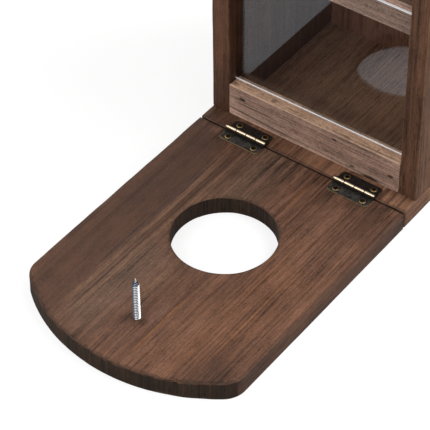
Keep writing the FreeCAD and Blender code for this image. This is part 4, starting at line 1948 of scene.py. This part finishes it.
    def _pin(self) -> Form:
        """The pin with its domed head, along the first axis.

        Returns:
            The form.
        """
        half = self.length / 2
        dome = [(0.0, 1.2), (0.7, 1.12), (1.2, 0.8), (1.45, 0.35), (1.45, 0.02)]
        outline = [(radius, half + rise) for radius, rise in dome]
        outline += [(self.pin, half), (self.pin, -half + 0.15), (self.pin - 0.15, -half), (0.0, -half)]
        form = Form.turned(outline, 28)
        turn = Matrix.Translation((0.0, 0.0, self.axis)) @ Matrix.Rotation(-math.pi / 2, 4, "Y")
        # The rim attribute paints the pin's highlight.
        return form.turn_into(turn).number("rim", self._painted_highlight)

    def _is_corner(self, edge: Edge) -> bool:
        """Whether an edge stands at one of the leaf's two far corners."""
        first, last = (vert.co for vert in edge.verts)
        return abs(first.z - last.z) > 0.5 * self.thick and first.y > self.reach - 0.01

    def _leaf_shade(self, vert: Vert) -> float:
        """Find how dark the leaf is at a vertex.

        Args:
            vert: The vertex.

        Returns:
            The painted shade round its screws and along its barrel, from 0 to 1.
        """
        away = math.hypot(abs(vert.co.x) - self.screw_out, vert.co.y - LEAF_SCREW_REACH)
        near = vert.co.y - self.barrel
        return max(0.7 if away < 3.1 else 0.0, max(0.0, 1.0 - near / 2.8) ** 0.6)

    def _rim(self, vert: Vert) -> float:
        """Find how rubbed the leaf is at a vertex.

        Args:
            vert: The vertex.

        Returns:
            Find how worn the leaf is at a vertex.
        """
        half = self.length / 2
        x, y = abs(vert.co.x), vert.co.y
        dx, dy = x - (half - self.corner), y - (self.reach - self.corner)
        rounded = dx > 0.0 and dy > 0.0
        inside = self.corner - math.hypot(dx, dy) if rounded else min(half - x, self.reach - y)
        return (1.0 if rounded else 0.72) * max(0.0, 1.0 - inside / 0.7) ** 1.5


@dataclass
class LeafScrews:
    """A row of small cross-head screws that hold hinge leaves.

    Attributes:
        node: The frame's node of the row.
        seam: The hinge line, its third axis out of the board.
        body: The body that they ride on.
        head: Radius of the head.
        dome: Height of the head's crown.
        shank: Radius of the shank.
        sink: Depth over which the head narrows.
        length: From the head's rim to the point.
        taper: Length of the point.
    """

    node: str
    seam: Matrix
    body: str
    head: float = LEAF_SEAT.head
    dome: float = 0.36
    shank: float = LEAF_SEAT.shank
    sink: float = LEAF_SEAT.sink
    length: float = LEAF_SEAT.length
    taper: float = 2.2

    def build(self, material: Material) -> None:
        """Shape the row and dress it.

        Args:
            material: The screws' material.
        """
        to_seam = self.seam.inverted()
        row = Form()
        for number, (low, high) in enumerate(islands_of(self.node)):
            middle = to_seam @ ((low + high) / 2)
            spot = Matrix.Translation((middle.x, math.copysign(LEAF_SCREW_REACH, middle.y), LEAF_THICK))
            turn = Matrix.Rotation(0.5 + 0.9 * number, 4, "Z")
            row.join(self._screw().turn_into(self.seam @ spot @ turn))
        Piece(self.node + "_row", self.body, "aged_brass", (self.node,)).finish(row, material)

    def _screw(self) -> Form:
        """One screw, its head's rim at the origin.

        Returns:
            The form.
        """
        rings = ((0.0, 1.0), (0.9, 0.97), (1.6, 0.86), (1.9, 0.72), (2.1, 0.46), (2.3, 0.16))
        outline = [(radius, self.dome * share) for radius, share in rings]
        outline += [(self.head, -0.06), (self.shank, -self.sink)]
        outline += [(self.shank, self.taper - self.length), (0.0, -self.length)]
        form = Form.turned(outline, 32)
        form.carve([self._blade(0.0), self._blade(math.pi / 2)])
        # Painted shade in the recess and round the head, and a painted highlight round its rim.
        return form.number("painted_shade", self._recess_shade).number("rim", self._painted_highlight)

    def _blade(self, turn: float) -> Form:
        """Two opposite arms of the recess, which narrow downwards.

        Args:
            turn: How far they are turned, in radians.

        Returns:
            The cutter.
        """
        blade = Form.block((-1.7, -0.31, -0.75), (1.7, 0.31, 1.5))
        for vert in blade.mesh.verts:
            if vert.co.z < 0.0:
                vert.co.x *= 0.4
        return blade.turn_into(Matrix.Rotation(turn, 4, "Z"))

    def _recess_shade(self, vert: Vert) -> float:
        """Painted shade: 1 in the recess and round the head's outline, and a little inside its ring."""
        inside = 0.25 if away_of(vert) < 1.8 else 0.0
        return 1.0 if vert.co.z < 0.0 else inside

    def _painted_highlight(self, vert: Vert) -> float:
        """A painted highlight, brightest round the head's rim."""
        ringed = 1.85 < away_of(vert) < 2.35 and vert.co.z > 0.0
        return 0.75 if ringed else 0.35


@dataclass
class Pane:
    """The clear front sheet.

    Attributes:
        arris: Rounding of its upright edges.
        chamfer: Width of the chamfer along its foot and its top.
    """

    arris: float = 0.2
    chamfer: float = 0.9

    def build(self) -> None:
        """Shape the sheet and dress it."""
        form = Form.block(*corners_of("front_pane")).round_over(self.arris, self._is_side, 2)
        form.round_over(self.chamfer, lambda edge: not self._is_side(edge) and is_steep(edge), 1)
        form.mesh.normal_update()
        for face in form.mesh.faces:
            face.material_index = 0 if abs(face.normal.y) > 0.9 else 1
        piece = Piece("clear_pane", "pane", "clear_acrylic", ("front_pane",))
        piece.finish(form, Acrylic("clear_sheet").dress(), SawnEdge("sawn_edge").dress(), smooth=False)

    def _is_side(self, edge: Edge) -> bool:
        """Whether an edge stands upright."""
        first, last = (vert.co for vert in edge.verts)
        return abs(first.z - last.z) > self.arris


@dataclass
class Hardware:
    """Hinges, screws and pegs.

    Attributes:
        layout: The frame's shared measures.
        inset: From the side of the box to a hinge's middle.
    """

    layout: Layout
    inset: float = 37.5

    def build(self) -> None:
        """Make every hinge and screw, and dress the nodes that stay."""
        dark, dull = (
            Metal(
                name=name,
                film=film,
                mottle=mottle,
                bright=paint(196, 164, 112),
                metallic=0.7,
                rough=0.5,
                polish=0.38,
            ).dress()
            for name, film, mottle in (
                ("aged_leaf", paint(26, 23, 21), paint(56, 52, 50)),
                ("dull_leaf", paint(42, 41, 39), paint(92, 90, 86)),
            )
        )
        # The barrel's bright colour paints its highlight; its dark film stands partly for tarnish and partly
        # for the shade beside that highlight.
        bright = Metal(
            name="satin_barrel",
            film=paint(34, 27, 20),
            mottle=paint(62, 50, 36),
            bright=paint(246, 224, 192),
            rough=0.6,
            polish=0.3,
            metallic=0.5,
            chips=0.2,
        ).dress()
        heads = Metal(
            name="brass_heads",
            film=paint(44, 37, 28),
            mottle=paint(78, 66, 48),
            bright=paint(186, 160, 116),
            rough=0.42,
            polish=0.32,
            metallic=0.95,
            speck=1.2,
        ).dress()
        lines = (
            ("platform_hinge", self.layout.fold, "base_leaf", "platform_leaf", "platform"),
            ("lid_hinge", self.layout.lid_seam, "strip_leaf", "lid_leaf", "lid"),
        )
        for side, sign in (("left", -1.0), ("right", 1.0)):
            shift = Matrix.Translation((sign * (self.layout.half - self.inset), 0.0, 0.0))
            for kind, line, fixed, moving, body in lines:
                Hinge(f"{side}_{kind}", line @ shift, fixed, moving, body).build(dark, dull, bright)
        rows = (
            ("hinge_screws_base", self.layout.fold, "box"),
            ("hinge_screws_platform", self.layout.fold, "platform"),
            ("hinge_screws_strip", self.layout.lid_seam, "box"),
            ("hinge_screws_lid", self.layout.lid_seam, "lid"),
        )
        for node, seam, body in rows:
            LeafScrews(node, seam, body).build(heads)
        self._carried_over()

    def _carried_over(self) -> None:
        """Dress the frame's own screws and pegs."""
        zinc = Metal(
            name="zinc_screws",
            film=paint(150, 154, 160),
            mottle=paint(190, 194, 200),
            bright=paint(226, 228, 232),
            bare=0.25,
            rough=0.34,
            polish=0.24,
            metallic=1.0,
        ).dress()
        peg = Wood("peg_timber", Grain.ACROSS, paint(150, 122, 98), paint(186, 156, 128), ends=0.8).dress()
        finishes = {"base_screws": zinc, "back_screws": zinc, "roof_strip_screws": zinc, "rail_dowels": peg}
        for node, material in finishes.items():
            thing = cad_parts[node]
            thing.data.materials.clear()
            thing.data.materials.append(material)
            LOG.info("%s: dressed as it is", node)


@dataclass
class Lamp:
    """One soft square light.

    Attributes:
        name: Its name.
        place: Where it hangs, in metres.
        size: Length of its sides.
        power: Its strength in watts.
    """

    name: str
    place: Point
    size: float
    power: float

    def hang(self, target: Point) -> None:
        """Put the light up, facing a point.

        Args:
            target: The point that it faces.
        """
        data = bpy.data.lights.new(self.name, "AREA")
        data.shape, data.size, data.energy = "SQUARE", self.size, self.power
        lamp = bpy.data.objects.new(self.name, data)
        lamp.location = self.place
        lamp.rotation_euler = (Vector(target) - Vector(self.place)).to_track_quat("-Z", "Y").to_euler()
        bpy.context.scene.collection.objects.link(lamp)


@dataclass
class Studio:
    """A pale floor, a white surround and soft lights.

    Attributes:
        sky: Strength of the surround on the object.
        floor_size: Length of the floor's sides in metres.
        floor_drop: How far the floor lies below the object, in metres.
        paper: The floor's darkest and palest grey.
        glow: The floor's brightness to the camera where no light falls.
        mirrored: Share of that glow that mirrors show.
        target: What the lights face.
        lamps: The lights.
    """

    sky: float = 0.5
    floor_size: float = 6.0
    floor_drop: float = 0.0002
    paper: tuple[float, float] = (0.40, 0.42)
    glow: float = 0.72
    mirrored: float = 0.25
    target: Point = (0.0, 0.0, 0.08)
    lamps: list[Lamp] = field(
        default_factory=lambda: [
            Lamp("key", (0.9, 0.5, 1.3), 1.1, 15.0),
            Lamp("fill", (-0.35, -1.35, 1.0), 1.3, 11.5),
        ]
    )

    def build(self) -> None:
        """Set up the floor, the surround and the lights."""
        self._floor()
        self._surround()
        for lamp in self.lamps:
            lamp.hang(self.target)

    def _floor(self) -> None:
        """The floor, whose own glow makes it white to the camera where no shadow falls."""
        mesh = bmesh.new()
        bmesh.ops.create_grid(mesh, x_segments=1, y_segments=1, size=self.floor_size / 2)
        data = bpy.data.meshes.new("studio_floor")
        mesh.to_mesh(data)
        mesh.free()
        floor = bpy.data.objects.new("studio_floor", data)
        floor.location.z = -self.floor_drop
        bpy.context.scene.collection.objects.link(floor)
        graph = Graph.of_material("floor_paper")
        tone = graph.cloud(graph.place(), (400.0, 400.0, 400.0), 1.0, 0.5)
        greys = [(level,) * 3 for level in self.paper]
        paper = graph.node("ShaderNodeBsdfDiffuse", None, {"Color": graph.blend(tone, *greys)})
        strength = self._seen(graph, self.mirrored) * self.glow
        glow = graph.node("ShaderNodeEmission", None, {"Color": (1.0, 1.0, 1.0), "Strength": strength})
        both = graph.node("ShaderNodeAddShader", None, {0: paper.outputs[0], 1: glow.outputs[0]})
        graph.output(both.outputs[0])
        data.materials.append(graph.owner)

    @staticmethod
    def _seen(graph: Graph, mirrored: float = 1.0) -> Signal:
        """How much of the glow a ray sees.

        Args:
            graph: The graph that it goes into.
            mirrored: The share for rays from a mirror.

        Returns:
            1 for what the camera sees directly or through glass, and 0 for plain light.
        """
        rays = graph.node("ShaderNodeLightPath").outputs
        seen = Signal(graph, rays["Is Camera Ray"])
        for name, share in (("Is Glossy Ray", mirrored), ("Is Transmission Ray", 1.0)):
            seen = seen.at_least(Signal(graph, rays[name]) * share)
        return seen

    def _surround(self) -> None:
        """White to the camera, mirrors and glass, and softer as a light."""
        world = bpy.data.worlds.new("surround")
        bpy.context.scene.world = world
        graph = Graph(world)
        strength = self._seen(graph) * (1.0 - self.sky) + self.sky
        glow = graph.node("ShaderNodeBackground", None, {"Color": (1.0, 1.0, 1.0), "Strength": strength})
        graph.node("ShaderNodeOutputWorld", None, {"Surface": glow.outputs[0]})


@dataclass
class ViewPoint:
    """The photograph's camera.

    Attributes:
        place: Its place in metres.
        right: The picture's right.
        down: The picture's way down.
        forward: The way that it looks.
        lens: Focal length for the sensor's width, both in millimetres.
        sensor: The sensor's width.
        sight: The nearest and the farthest that it sees, in metres.
    """

    place: Point = (0.558817, -0.801575, 0.913317)
    right: Point = (0.80283961, 0.59613535, -0.00843823)
    down: Point = (0.40436639, -0.55486797, -0.72705527)
    forward: Point = (-0.43810545, 0.58029663, -0.68652708)
    lens: float = 174.594
    sensor: float = 36.0
    sight: tuple[float, float] = (0.05, 50.0)

    def build(self) -> None:
        """Make the camera and give it to the scene."""
        data = bpy.data.cameras.new("viewpoint")
        data.lens, data.sensor_width, data.sensor_fit = self.lens, self.sensor, "HORIZONTAL"
        data.clip_start, data.clip_end = self.sight
        camera = bpy.data.objects.new("viewpoint", data)
        turn = Matrix((self.right, -Vector(self.down), -Vector(self.forward))).transposed()
        camera.matrix_world = Matrix.Translation(self.place) @ turn.to_4x4()
        bpy.context.scene.collection.objects.link(camera)
        bpy.context.scene.camera = camera


def main() -> None:
    """Build the studio and every sub-assembly in order."""
    logging.basicConfig(level=logging.INFO, format="%(name)s: %(message)s")
    bpy.context.scene.view_settings.view_transform = "Standard"
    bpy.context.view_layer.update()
    layout = Layout.read()
    LOG.info("layout: %s", layout)
    ViewPoint().build()
    Studio().build()
    Platform(layout).build()
    Boards(layout).build()
    CornScrew().build()
    Hardware(layout).build()
    Pane().build()


if __name__ == "__main__":
    main()
